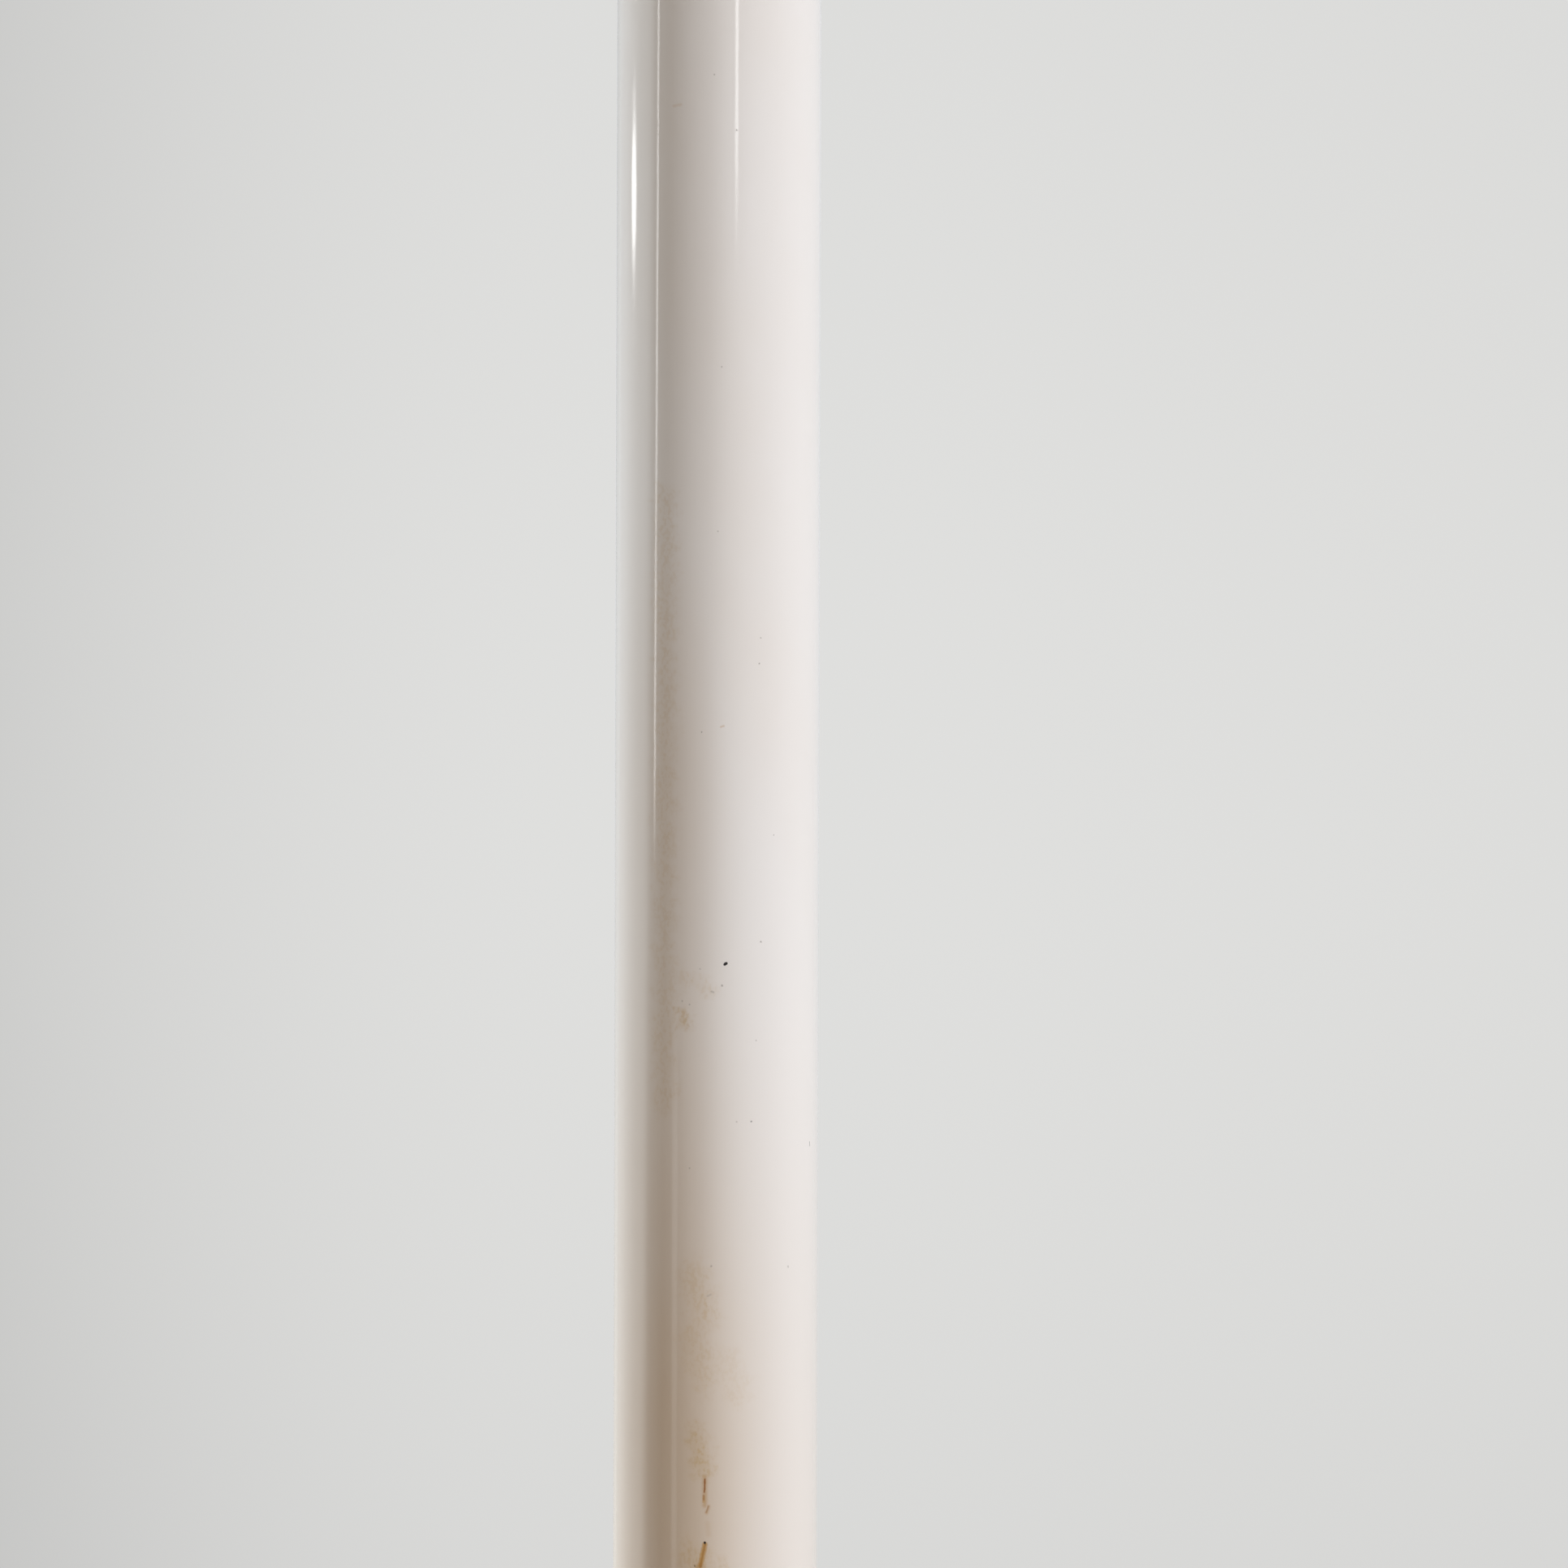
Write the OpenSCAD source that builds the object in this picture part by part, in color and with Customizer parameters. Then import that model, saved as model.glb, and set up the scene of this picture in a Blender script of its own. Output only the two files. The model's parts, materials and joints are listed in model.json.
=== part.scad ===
// Mushroom floor lamp: a round ballasted base with a foot switch, a slim enamelled
// steel stem clamped on a threaded pipe, and an opal dome shade that rests by its
// turned-in lip on a three-armed carrier round the lampholder.
// Millimetres. The origin is on the floor under the stem, +Z is up, and the cord
// inlet is at the back, on +Y.

/* [Overall] */
// Height from the floor to the crown of the shade
lamp_h = 1320; // [1150:10:1500]

/* [Stem] */
// Outer diameter of the stem tube
stem_d = 32; // [28:1:38]
// Wall of the stem tube
stem_wall = 1.5; // [1:0.1:2.5]
// Outer diameter of the threaded pipe that runs up the stem
pipe_d = 10; // [9.8:0.1:11]
// Wall of the threaded pipe
pipe_wall = 1.4; // [1.1:0.1:1.6]
// Thickness of the flange on each stem plug
plug_flange_h = 3; // [2:0.5:5]
// Length of each plug's spigot inside the tube
plug_spigot_h = 16; // [10:1:30]
// Height of the collar at the foot of the stem
collar_h = 11; // [9:0.5:15]
// Wall of the collar outside the neck of the base
collar_wall = 1.6; // [1.2:0.1:3]

/* [Base] */
// Outer diameter of the base
base_d = 290; // [260:5:340]
// Height of the flat top of the base above the floor
base_h = 36; // [35:1:44]
// Sheet thickness of the spun cover
cover_wall = 1.5; // [1:0.1:2]
// Outer radius of the cover's rounded edge
edge_r = 12; // [8:1:14]
// Radius of the cove where the cover sweeps up into its neck
cove_r = 26; // [16:1:32]
// Straight height of the neck above the cove
neck_h = 3; // [2:0.5:8]
// Thickness of the cast-iron ballast disc
ballast_h = 16; // [15:0.5:18]
// Free ring between the ballast and the cover
ballast_gap = 2; // [1.5:0.5:5]
// Thickness of the bottom plate
plate_h = 1.5; // [1:0.1:2]
// Diameter of a rubber foot
foot_d = 20; // [14:1:26]
// Height of a rubber foot below the bottom plate
foot_h = 4; // [3.6:0.2:6]
// Distance from the edge of the base to the feet and the plate screws
foot_inset = 25; // [22:1:32]

/* [Wiring] */
// Outer diameter of a sheathed lead inside the lamp
lead_d = 4.4; // [3.6:0.1:4.8]
// Centre-line radius of a bend in a lead
lead_bend_r = 14; // [13:0.5:15]
// Diameter of the mains cord that the inlet takes
cord_d = 6.8; // [5.6:0.1:7.6]
// Diameter of the earth lead
earth_lead_d = 2.6; // [2:0.1:3]
// Distance from the axis to the middle of the terminal block
block_at = 46; // [44:1:48]
// Length of the terminal block
block_l = 18; // [16:1:20]
// Height of the terminal block
block_h = 12.5; // [11:0.5:13.5]

/* [Foot switch] */
// Diameter of the push button
button_d = 16; // [12:0.5:18]
// Travel of the push button
button_travel = 4; // [2:0.5:5]
// Height of the pressed button above its ring nut
button_proud = 2; // [1:0.5:6]
// Distance from the axis to the switch
switch_at = 92; // [86:1:96]
// Direction of the switch, anticlockwise from +X
switch_turn = -60; // [-66:1:-54]

/* [Shade] */
// Largest diameter of the dome
shade_d = 440; // [400:5:500]
// Height of the shade from its lip to its crown
shade_h = 205; // [185:5:240]
// Wall of the shade
shade_wall = 3; // [2.4:0.1:4]
// Fullness of the dome: 2 is an ellipse, more is squarer
dome_fullness = 2.25; // [2:0.05:2.6]
// Width over which the edge of the dome curls in
curl_w = 45; // [30:1:60]
// Height over which the edge of the dome curls in
curl_h = 38; // [26:1:50]
// Width of the flat lip inside the curl
lip_w = 12; // [10:0.5:20]

/* [Shade carrier] */
// Diameter of a carrier arm
arm_d = 5; // [4:0.5:6]
// Height that an arm climbs from the hub to the lip
arm_rise = 22; // [18:1:34]
// Centre-line radius of the bends in an arm
arm_bend_r = 30; // [16:1:40]
// Angle of the bends in an arm
arm_bend = 35; // [30:1:40]
// Diameter of the carrier's hub
hub_d = 30; // [27:1:36]
// Height of the carrier's hub
hub_h = 10; // [8:1:16]
// Diameter of a rubber bush on an arm's tip
bush_d = 9; // [8:0.5:11]

/* [Lampholder and bulb] */
// Outer diameter of the lampholder
holder_d = 40; // [38:1:46]
// Length of the lampholder's sleeve above its cup
sleeve_h = 26; // [22:1:30]
// Diameter of the bulb
bulb_d = 60; // [50:1:80]
// Length of the bulb from its contact to its top
bulb_l = 105; // [98:1:115]

/* [Hidden] */
$fn = 96;
arc_steps = 12;
dome_steps = 28;
cut = 1;                        // how far a cutting tool runs past a face
fit = 0.05;                     // radial clearance of pieces that seat in each other
slide_fit = 0.25;               // radial clearance of pieces that move
seat_gap = 0.2;                 // clearance of pieces that rest on another moving body

stem_r = stem_d / 2;
stem_bore_r = stem_r - stem_wall;
pipe_r = pipe_d / 2;
pipe_bore_r = pipe_r - pipe_wall;

// Base, from the floor up
base_r = base_d / 2;
neck_r = stem_r + 0.6 + cover_wall;
neck_top = base_h + cove_r + neck_h;
cover_inner_r = base_r - cover_wall;
cover_inner_top = base_h - cover_wall;
plate_top = foot_h + plate_h;
plate_r = cover_inner_r - 0.4;
ballast_r = cover_inner_r - ballast_gap;
ballast_top = plate_top + ballast_h;
ballast_hub_r = neck_r + cove_r + 8;
foot_at = base_r - foot_inset;
foot_stem_d = 8;
foot_stem_h = 4;
foot_turn = 45;
screw_turn = 20;                // the plate screws stand this far round from the X and Y axes
screw_d = 4;
screw_head_d = 7.6;
screw_head_h = 2.2;
screw_l = 12;

// Nuts and washer on the threaded pipe
nut_af = 17;                    // across flats
nut_h = 6;
thin_nut_h = 4;
washer_d = 20;
washer_h = 1.6;

// Leads under the ballast. The pipe's mouth stands just clear of the bend below it.
lead_r = lead_d / 2;
lead_z = plate_top + lead_r + 1.8;
bend_inside_r = lead_bend_r - lead_r;
pipe_mouth_z = lead_z + lead_bend_r + 0.4
    - sqrt(pow(bend_inside_r, 2) - pow(lead_bend_r - pipe_bore_r, 2));
base_nut_z = pipe_mouth_z + 1;
washer_z = base_nut_z + nut_h;
recess_top = washer_z + washer_h;
recess_r = washer_d / 2 + 10;

// Terminal block: three ways, with a mouth for a lead at both ends of each
way_pitch = 8;
mouth_r = lead_r + 0.1;
mouth_depth = 3;
block_w = 2 * (way_pitch + mouth_r + 1.7);
block_top = plate_top + block_h + 0.5;
block_front = block_at - block_l / 2;
lead_start = block_front + mouth_depth - 0.1;
block_screw_d = 3;
block_screw_head_d = 5.6;
block_screw_head_h = 1.8;
terminal_screw_d = 3;
terminal_screw_l = 2.3;
channel_w = 2 * (way_pitch + lead_r + 1);
slot_top = lead_z + lead_r + 1;

// Earth terminal, a tag held by a screw under the ballast
earth_at = 40;
tag_h = 1;
tag_r = 4.5;
tag_barrel_r = earth_lead_d / 2 + 0.9;
tag_barrel_l = 6;
tag_barrel_end = -(earth_at - tag_r - 2);   // the end nearer the screw

// Cord inlet, through the cover's upright wall at the back
inlet_r = (cord_d + 0.4) / 2;
grommet_neck_r = inlet_r + 2;
grommet_flange_r = grommet_neck_r + 2.2;
grommet_flange_h = 2;
inlet_z = plate_top + grommet_flange_r + 0.5;
inlet_sag = base_r - sqrt(pow(base_r, 2) - pow(grommet_flange_r, 2));

// Foot switch, on its own axis
switch_x = switch_at * cos(switch_turn);
switch_y = switch_at * sin(switch_turn);
switch_lead_run = (switch_x - way_pitch) / cos(switch_turn);
button_r = button_d / 2;
button_bore_r = button_r + slide_fit;
switch_neck_r = button_bore_r + 2;
button_flange_r = button_r + 2;
switch_cavity_r = button_flange_r + 0.5;
switch_r = switch_cavity_r + 4.5;
switch_bottom = plate_top + 1;
switch_floor = switch_bottom + 4;
shoulder_z = cover_inner_top - 2.5;
button_flange_h = 2.6;
button_flange_z = shoulder_z - seat_gap - button_flange_h;
ring_h = 5;
ring_r = switch_neck_r + 4;
switch_neck_top = base_h + ring_h + 0.6;
button_top = switch_neck_top + button_travel + button_proud;
contact_h = 1.5;
contact_r = button_r - 3.5;
pin_r = 2.5;
spring_wire_d = 1;
spring_turns = 5;
spring_r = contact_r + 0.4 + spring_wire_d / 2;
spring_seat_gap = 0.15;

// Head, from the lip of the shade down and up
shade_r = shade_d / 2;
rim_z = lamp_h - shade_h;
lip_out_r = shade_r - curl_w;
opening_r = lip_out_r - lip_w;
dome_h = shade_h - curl_h;
bush_r = bush_d / 2;
arm_tip_z = rim_z - seat_gap - bush_r;
hub_mid_z = arm_tip_z - arm_rise;
hub_r = hub_d / 2;
hub_bottom = hub_mid_z - hub_h / 2;
hub_top = hub_mid_z + hub_h / 2;
stem_bottom = cover_inner_top + plug_flange_h;
stem_top = hub_bottom - plug_flange_h;
bush_flange_r = bush_r + 3.5;
bush_flange_h = 3;
bush_inner = opening_r - 1 - bush_flange_h;
arm_end = lip_out_r - 1.5;

// Lampholder for an E27 cap, stacked on the carrier's nut
holder_r = holder_d / 2;
holder_wall = 1.6;
holder_bore_r = holder_r - holder_wall;
cup_z = hub_top + thin_nut_h;
cup_h = 22;
cup_floor = 4;
ledge_h = 12;                   // height of the ledge that carries the insert, above the cup's foot
insert_h = 12;
insert_top = cup_z + ledge_h + insert_h;
pipe_top = cup_z + cup_floor + thin_nut_h + 1;
sleeve_z = cup_z + cup_h;
sleeve_top = sleeve_z + sleeve_h;
socket_r = 13.8;                // inside radius of the brass screw shell
socket_wall = 0.5;
socket_top = sleeve_top - 3;
tongue_h = 2.6;

// Bulb with an E27 cap
cap_r = 13.2;
cap_wall = 0.4;
bulb_z = insert_top + tongue_h + 0.3;
solder_h = 1.2;
insulator_h = 4.4;
cap_h = 21;
cap_z = bulb_z + solder_h + insulator_h;
bulb_r = bulb_d / 2;
bulb_neck_r = cap_r - cap_wall - 0.15;
glass_wall = 0.8;
glass_foot = cap_z + cap_h - 7;
bulb_centre_z = bulb_z + bulb_l - bulb_r;
flare_r = 35;                   // radius of the concave sweep from the neck to the globe

// Points on an arc of a circle, from angle a to angle b
function arc(x, y, r, a, b) =
    [for (i = [0:arc_steps]) let (u = a + (b - a) * i / arc_steps) [x + r * cos(u), y + r * sin(u)]];

// Points on a quarter of a superellipse, from its side at (a, 0) to its top at (0, b)
function quarter_dome(a, b) =
    [for (i = [0:dome_steps]) let (u = 90 * i / dome_steps)
        [a * pow(cos(u), 2 / dome_fullness), b * pow(sin(u), 2 / dome_fullness)]];

// Points on a quarter of an ellipse, from its side at (a, 0) down to (0, -b)
function quarter_curl(a, b) =
    [for (i = [0:arc_steps]) let (u = 90 * i / arc_steps) [a * cos(u), -b * sin(u)]];

function moved(points, by) = [for (p = points) p + by];
function reversed(points) = [for (i = [len(points) - 1:-1:0]) points[i]];

module cylinder_between(r, z0, z1) {
    translate([0, 0, z0]) cylinder(r = r, h = z1 - z0);
}

// A ring with square edges
module ring(outer_r, inner_r, h) {
    difference() {
        cylinder(r = outer_r, h = h);
        translate([0, 0, -cut]) cylinder(r = inner_r, h = h + 2 * cut);
    }
}

// A hexagon nut on the threaded pipe
module pipe_nut(h) {
    difference() {
        cylinder(r = nut_af / sqrt(3), h = h, $fn = 6);
        translate([0, 0, -cut]) cylinder(r = pipe_r + fit, h = h + 2 * cut);
    }
}

// A round rod that starts at the origin along +X and is bent in the XY plane.
// Each step is [straight length, bend radius, angle turned to the left]. An elbow is a
// hair fatter than the rod and laps a little over the straight pieces' ends.
module bent_rod(d, steps, i = 0) {
    run = steps[i][0];
    bend_r = steps[i][1];
    turn = steps[i][2];
    side = sign(turn);
    rotate([0, 90, 0]) cylinder(d = d, h = run);
    if (i < len(steps) - 1) {
        lap = 0.5 / bend_r * 180 / PI;
        translate([run, 0, 0]) {
            translate([0, side * bend_r, 0]) rotate([0, 0, -side * (90 + lap)])
                rotate_extrude(angle = turn + side * 2 * lap) translate([bend_r, 0]) circle(d = d + 0.06);
            translate([bend_r * sin(abs(turn)), side * bend_r * (1 - cos(turn)), 0])
                rotate([0, 0, turn]) bent_rod(d, steps, i + 1);
        }
    }
}

module at_switch() {
    translate([switch_x, switch_y, 0]) children();
}

// Four places round the axis at the radius of the feet
module four_round(turn) {
    for (i = [0:3]) rotate([0, 0, turn + 90 * i]) translate([foot_at, 0, 0]) children();
}

// Three places round the axis, one of them at the back
module three_round() {
    for (i = [0:2]) rotate([0, 0, 90 + 120 * i]) children();
}

// Rubber feet, each with a stem pushed through the bottom plate
module rubber_feet() {
    toe_r = 1.2;
    color("dimgray") four_round(foot_turn) {
        rotate_extrude() polygon(concat(
            [[0, 0]],
            arc(foot_d / 2 - toe_r, toe_r, toe_r, -90, 0),
            [[foot_d / 2, foot_h], [0, foot_h]]));
        translate([0, 0, foot_h]) cylinder(d = foot_stem_d, h = foot_stem_h);
    }
}

// A pan-head screw that points up, with its head's upper face at the origin
module pan_screw(d, head_d, head_h, length) {
    rotate_extrude() polygon(concat(
        [[0, -head_h]],
        arc(head_d / 2 - 1, 1 - head_h, 1, -90, 0),
        [[head_d / 2, 0], [0, 0]]));
    cylinder(d = d, h = length);
}

module base_plate() {
    color("gainsboro") translate([0, 0, foot_h]) difference() {
        cylinder(r = plate_r, h = plate_h);
        four_round(foot_turn) translate([0, 0, -cut])
            cylinder(r = foot_stem_d / 2 + 0.1, h = plate_h + 2 * cut);
        four_round(screw_turn) translate([0, 0, -cut])
            cylinder(r = screw_d / 2 + 0.1, h = plate_h + 2 * cut);
    }
}

module plate_screws() {
    color("silver") translate([0, 0, foot_h]) four_round(screw_turn)
        pan_screw(screw_d, screw_head_d, screw_head_h, screw_l);
}

// A cutter from below the ballast up to some height, centred on X
module cut_block(w, y0, y1, top) {
    translate([-w / 2, y0, 0]) cube([w, y1 - y0, top]);
}

// Cast-iron disc with a raised hub, cast pockets for the wiring below and for the switch
module ballast() {
    chamfer = 2;
    slot_w = lead_d + 4;
    color("slategray") difference() {
        rotate_extrude() polygon([
            [0, plate_top], [ballast_r - chamfer, plate_top], [ballast_r, plate_top + chamfer],
            [ballast_r, ballast_top - chamfer], [ballast_r - chamfer, ballast_top],
            [ballast_hub_r + 3, ballast_top], [ballast_hub_r, ballast_top + 3],
            [ballast_hub_r, cover_inner_top], [0, cover_inner_top]]);
        cylinder(r = pipe_r + 0.2, h = base_h);
        cylinder(r = recess_r, h = recess_top);
        // channel from the recess to the rim, with room for the block and for the grommet
        cut_block(channel_w, 0, base_r, slot_top);
        cut_block(block_w + 1, block_front - 0.5, block_front + block_l + 0.5, block_top);
        cut_block(channel_w, ballast_r - 8, base_r, base_h);
        at_block_screws() cylinder(r = block_screw_d / 2 + fit, h = block_top + 7);
        // slot for the earth lead, and the seat of its tag
        translate([-way_pitch, 0, 0]) cut_block(slot_w, tag_barrel_end - 1.5, 0, slot_top);
        at_earth_screw() cylinder(r = tag_r + 1.5, h = lead_z + tag_h / 2);
        at_earth_screw() cylinder(r = screw_d / 2 + fit, h = lead_z + 10);
        // pocket for the switch, and the slot for its lead
        at_switch() cylinder(r = switch_r + 2, h = base_h);
        at_switch() rotate([0, 0, switch_turn]) translate([-switch_lead_run, -slot_w / 2, 0])
            cube([switch_lead_run, slot_w, slot_top]);
        four_round(foot_turn) cylinder(r = foot_stem_d / 2 + 1, h = foot_h + foot_stem_h + 1);
        four_round(screw_turn) cylinder(r = screw_d / 2 + fit, h = foot_h + screw_l + 1);
    }
}

// Section of the cover's skin, moved in by some distance, from height z0 up
module cover_section(inset, z0, top) {
    edge = edge_r - inset;
    cove = [neck_r + cove_r, base_h + cove_r];
    translate([0, z0]) square([base_r - edge_r, base_h - inset - z0]);
    translate([0, z0]) square([base_r - inset, base_h - edge_r - z0]);
    translate([base_r - edge_r, base_h - edge_r]) circle(r = edge);
    difference() {
        translate([0, base_h - inset - cut]) square([cove[0], cove_r + inset + cut]);
        translate(cove) circle(r = cove_r + inset);
    }
    translate([0, base_h]) square([neck_r - inset, top - base_h]);
}

// Spun steel cover: rounded edge, flat top, and a cove up into the neck. A notch in its
// rim, open below, takes the grommet.
module base_cover() {
    notch_r = grommet_neck_r + fit;
    color("ivory") difference() {
        rotate_extrude() difference() {
            cover_section(0, foot_h, neck_top);
            cover_section(cover_wall, foot_h - cut, neck_top + cut);
        }
        at_switch() cylinder(r = switch_neck_r + 0.2, h = base_h + cut);
        translate([0, 0, inlet_z]) rotate([-90, 0, 0]) cylinder(r = notch_r, h = base_r + cut);
        translate([-notch_r, 0, 0]) cube([2 * notch_r, base_r + cut, inlet_z]);
    }
}

// Rubber grommet, bored for the mains cord: two flanges and a neck that fills the notch
module cord_grommet() {
    inner_y = cover_inner_r - inlet_sag - 0.1;
    outer_y = base_r + 0.05;
    color("dimgray") difference() {
        union() {
            translate([-grommet_neck_r, plate_r + 0.15, foot_h])
                cube([2 * grommet_neck_r, outer_y - plate_r - 0.15, inlet_z - foot_h]);
            translate([0, 0, inlet_z]) rotate([-90, 0, 0]) {
                cylinder_between(grommet_flange_r, inner_y - grommet_flange_h, inner_y);
                cylinder_between(grommet_neck_r, inner_y - cut, outer_y + cut);
                cylinder_between(grommet_flange_r, outer_y, outer_y + grommet_flange_h);
            }
        }
        translate([0, 0, inlet_z]) rotate([-90, 0, 0]) cylinder(r = inlet_r, h = base_d);
    }
}

module at_block_screws() {
    for (x = [-way_pitch / 2, way_pitch / 2]) translate([x, block_at, 0]) children();
}

module at_terminal_screws() {
    inset = mouth_depth + terminal_screw_d / 2 + 0.5;
    for (x = [-way_pitch, 0, way_pitch])
        for (y = [block_front + inset, block_front + block_l - inset])
            translate([x, y, block_top - block_h]) children();
}

module at_earth_screw() {
    translate([-way_pitch, -earth_at, 0]) children();
}

// Ceramic block with three ways, a mouth and a screw at each end of a way
module terminal_block() {
    bottom = block_top - block_h;
    color("linen") difference() {
        translate([-block_w / 2, block_front, bottom]) cube([block_w, block_l, block_h]);
        for (x = [-way_pitch, 0, way_pitch]) translate([x, block_front, lead_z]) rotate([-90, 0, 0]) {
            translate([0, 0, -cut]) cylinder(r = mouth_r, h = mouth_depth + cut);
            translate([0, 0, block_l - mouth_depth]) cylinder(r = mouth_r, h = mouth_depth + cut);
        }
        at_block_screws() cylinder(r = block_screw_d / 2 + 0.1, h = base_h);
        at_block_screws() cylinder(r = block_screw_head_d / 2 + 0.1, h = bottom + 3);
        at_terminal_screws() translate([0, 0, -cut])
            cylinder(r = terminal_screw_d / 2 + fit, h = terminal_screw_l + 0.2 + cut);
    }
}

module terminal_screws() {
    color("goldenrod") at_terminal_screws() translate([0, 0, 0.2]) difference() {
        cylinder(d = terminal_screw_d, h = terminal_screw_l);
        translate([-terminal_screw_d, -0.25, -cut]) cube([2 * terminal_screw_d, 0.5, 0.6 + cut]);
    }
}

module block_screws() {
    color("silver") at_block_screws() translate([0, 0, block_top - block_h + 3])
        pan_screw(block_screw_d, block_screw_head_d, block_screw_head_h, block_h + 3);
}

module earth_lead() {
    length = lead_start - tag_barrel_end - 1.5;
    color("yellowgreen") translate([-way_pitch, lead_start, lead_z]) rotate([90, 0, 0])
        cylinder(d = earth_lead_d, h = length);
}

// Crimped tag: a ring under the screw's head, a neck, and a barrel round the lead
module earth_tag() {
    neck_w = 4;
    color("goldenrod") difference() {
        union() {
            at_earth_screw() translate([0, 0, lead_z - tag_h / 2]) cylinder(r = tag_r, h = tag_h);
            translate([-way_pitch - neck_w / 2, -earth_at, lead_z - tag_h / 2])
                cube([neck_w, earth_at + tag_barrel_end + 1, tag_h]);
            translate([-way_pitch, tag_barrel_end + tag_barrel_l, lead_z]) rotate([90, 0, 0])
                ring(tag_barrel_r, earth_lead_d / 2 + fit, tag_barrel_l);
        }
        at_earth_screw() cylinder(r = screw_d / 2 + 0.1, h = base_h);
    }
}

module earth_screw() {
    color("goldenrod") at_earth_screw() translate([0, 0, lead_z - tag_h / 2])
        pan_screw(screw_d, screw_head_d, screw_head_h, 9);
}

// Switch housing: a cup with a threaded neck through the cover
module switch_body() {
    color("black") at_switch() difference() {
        union() {
            translate([0, 0, switch_bottom]) cylinder(r = switch_r, h = cover_inner_top - switch_bottom);
            cylinder_between(switch_neck_r, cover_inner_top - cut, switch_neck_top);
        }
        cylinder_between(switch_cavity_r, switch_floor, shoulder_z);
        cylinder_between(button_bore_r, shoulder_z - cut, switch_neck_top + cut);
    }
}

module switch_contact() {
    color("goldenrod") at_switch() cylinder_between(contact_r, switch_floor, switch_floor + contact_h);
}

// Helical return spring between the housing's floor and the button's flange
module switch_spring() {
    sides = 6;
    rings = 12 * spring_turns;
    z0 = switch_floor + spring_wire_d / 2 + spring_seat_gap;
    z1 = button_flange_z - spring_wire_d / 2 - spring_seat_gap;
    points = [for (i = [0:rings]) let (u = 360 * spring_turns * i / rings, z = z0 + (z1 - z0) * i / rings)
        for (j = [0:sides - 1]) let (v = 360 * j / sides, r = spring_r + spring_wire_d / 2 * cos(v))
            [r * cos(u), r * sin(u), z + spring_wire_d / 2 * sin(v)]];
    walls = [for (i = [0:rings - 1], j = [0:sides - 1])
        let (k = (j + 1) % sides, a = i * sides, b = a + sides)
        each [[a + j, b + j, b + k], [a + j, b + k, a + k]]];
    start = [for (j = [1:sides - 2]) [0, j, j + 1]];
    end = [for (j = [1:sides - 2]) [rings * sides, rings * sides + j + 1, rings * sides + j]];
    color("silver") at_switch() polyhedron(points = points, faces = concat(start, walls, end));
}

// Push button with its retaining flange and the pin that closes the contact
module switch_button() {
    dome_r = 2.5;
    color("ivory") at_switch() {
        rotate_extrude() polygon(concat(
            [[0, switch_floor + contact_h + button_travel + 0.5],
             [pin_r, switch_floor + contact_h + button_travel + 0.5],
             [pin_r, button_flange_z], [button_flange_r, button_flange_z],
             [button_flange_r, button_flange_z + button_flange_h],
             [button_r, button_flange_z + button_flange_h]],
            arc(button_r - dome_r, button_top - dome_r, dome_r, 0, 90),
            [[0, button_top]]));
    }
}

module switch_ring_nut() {
    chamfer = 1.2;
    inner_r = switch_neck_r + fit;
    color("silver") at_switch() translate([0, 0, base_h]) rotate_extrude() polygon([
        [inner_r, 0], [ring_r, 0], [ring_r, ring_h - chamfer], [ring_r - chamfer, ring_h],
        [inner_r, ring_h]]);
}

// Lead from the terminal block to the side of the switch
module switch_lead() {
    turn = 90 + switch_turn;
    tangent = lead_bend_r * tan(turn / 2);
    corner_y = switch_y - switch_lead_run * sin(switch_turn);
    color("dimgray") translate([way_pitch, lead_start, lead_z]) rotate([0, 0, -90]) bent_rod(lead_d, [
        [lead_start - corner_y - tangent, lead_bend_r, turn],
        [switch_lead_run - tangent - switch_r - fit, 0, 0]]);
}

// Lead from the terminal block, up the pipe, to the insert of the lampholder
module stem_lead() {
    color("gainsboro") translate([0, lead_start, lead_z]) rotate([90, 0, -90]) bent_rod(lead_d, [
        [lead_start - lead_bend_r, lead_bend_r, 90],
        [cup_z + ledge_h - lead_z - lead_bend_r, 0, 0]]);
}

module base_washer() {
    color("silver") translate([0, 0, washer_z]) ring(washer_d / 2, pipe_r + fit, washer_h);
}

module base_nut() {
    color("silver") translate([0, 0, base_nut_z]) pipe_nut(nut_h);
}

module threaded_pipe() {
    color("silver") translate([0, 0, pipe_mouth_z]) ring(pipe_r, pipe_bore_r, pipe_top - pipe_mouth_z);
}

// Turned plug: a flange under the end of the tube and a spigot inside it, standing at z = 0
module stem_plug() {
    spigot_r = stem_bore_r - fit;
    bore_r = pipe_r + fit;
    rotate_extrude() polygon([
        [bore_r, 0], [stem_r, 0], [stem_r, plug_flange_h], [spigot_r, plug_flange_h],
        [spigot_r, plug_flange_h + plug_spigot_h - 1], [spigot_r - 1, plug_flange_h + plug_spigot_h],
        [bore_r, plug_flange_h + plug_spigot_h]]);
}

module stem_foot_plug() {
    color("silver") translate([0, 0, cover_inner_top]) stem_plug();
}

module stem_top_plug() {
    color("silver") translate([0, 0, hub_bottom]) mirror([0, 0, 1]) stem_plug();
}

module stem_tube() {
    color("ivory") translate([0, 0, stem_bottom]) ring(stem_r, stem_bore_r, stem_top - stem_bottom);
}

collar_skirt_h = 3;
collar_screw_d = 4;
collar_screw_z = neck_top + (collar_h - collar_skirt_h) / 2;
collar_bore_r = stem_r + 0.15;
collar_r = neck_r + collar_wall;

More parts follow.
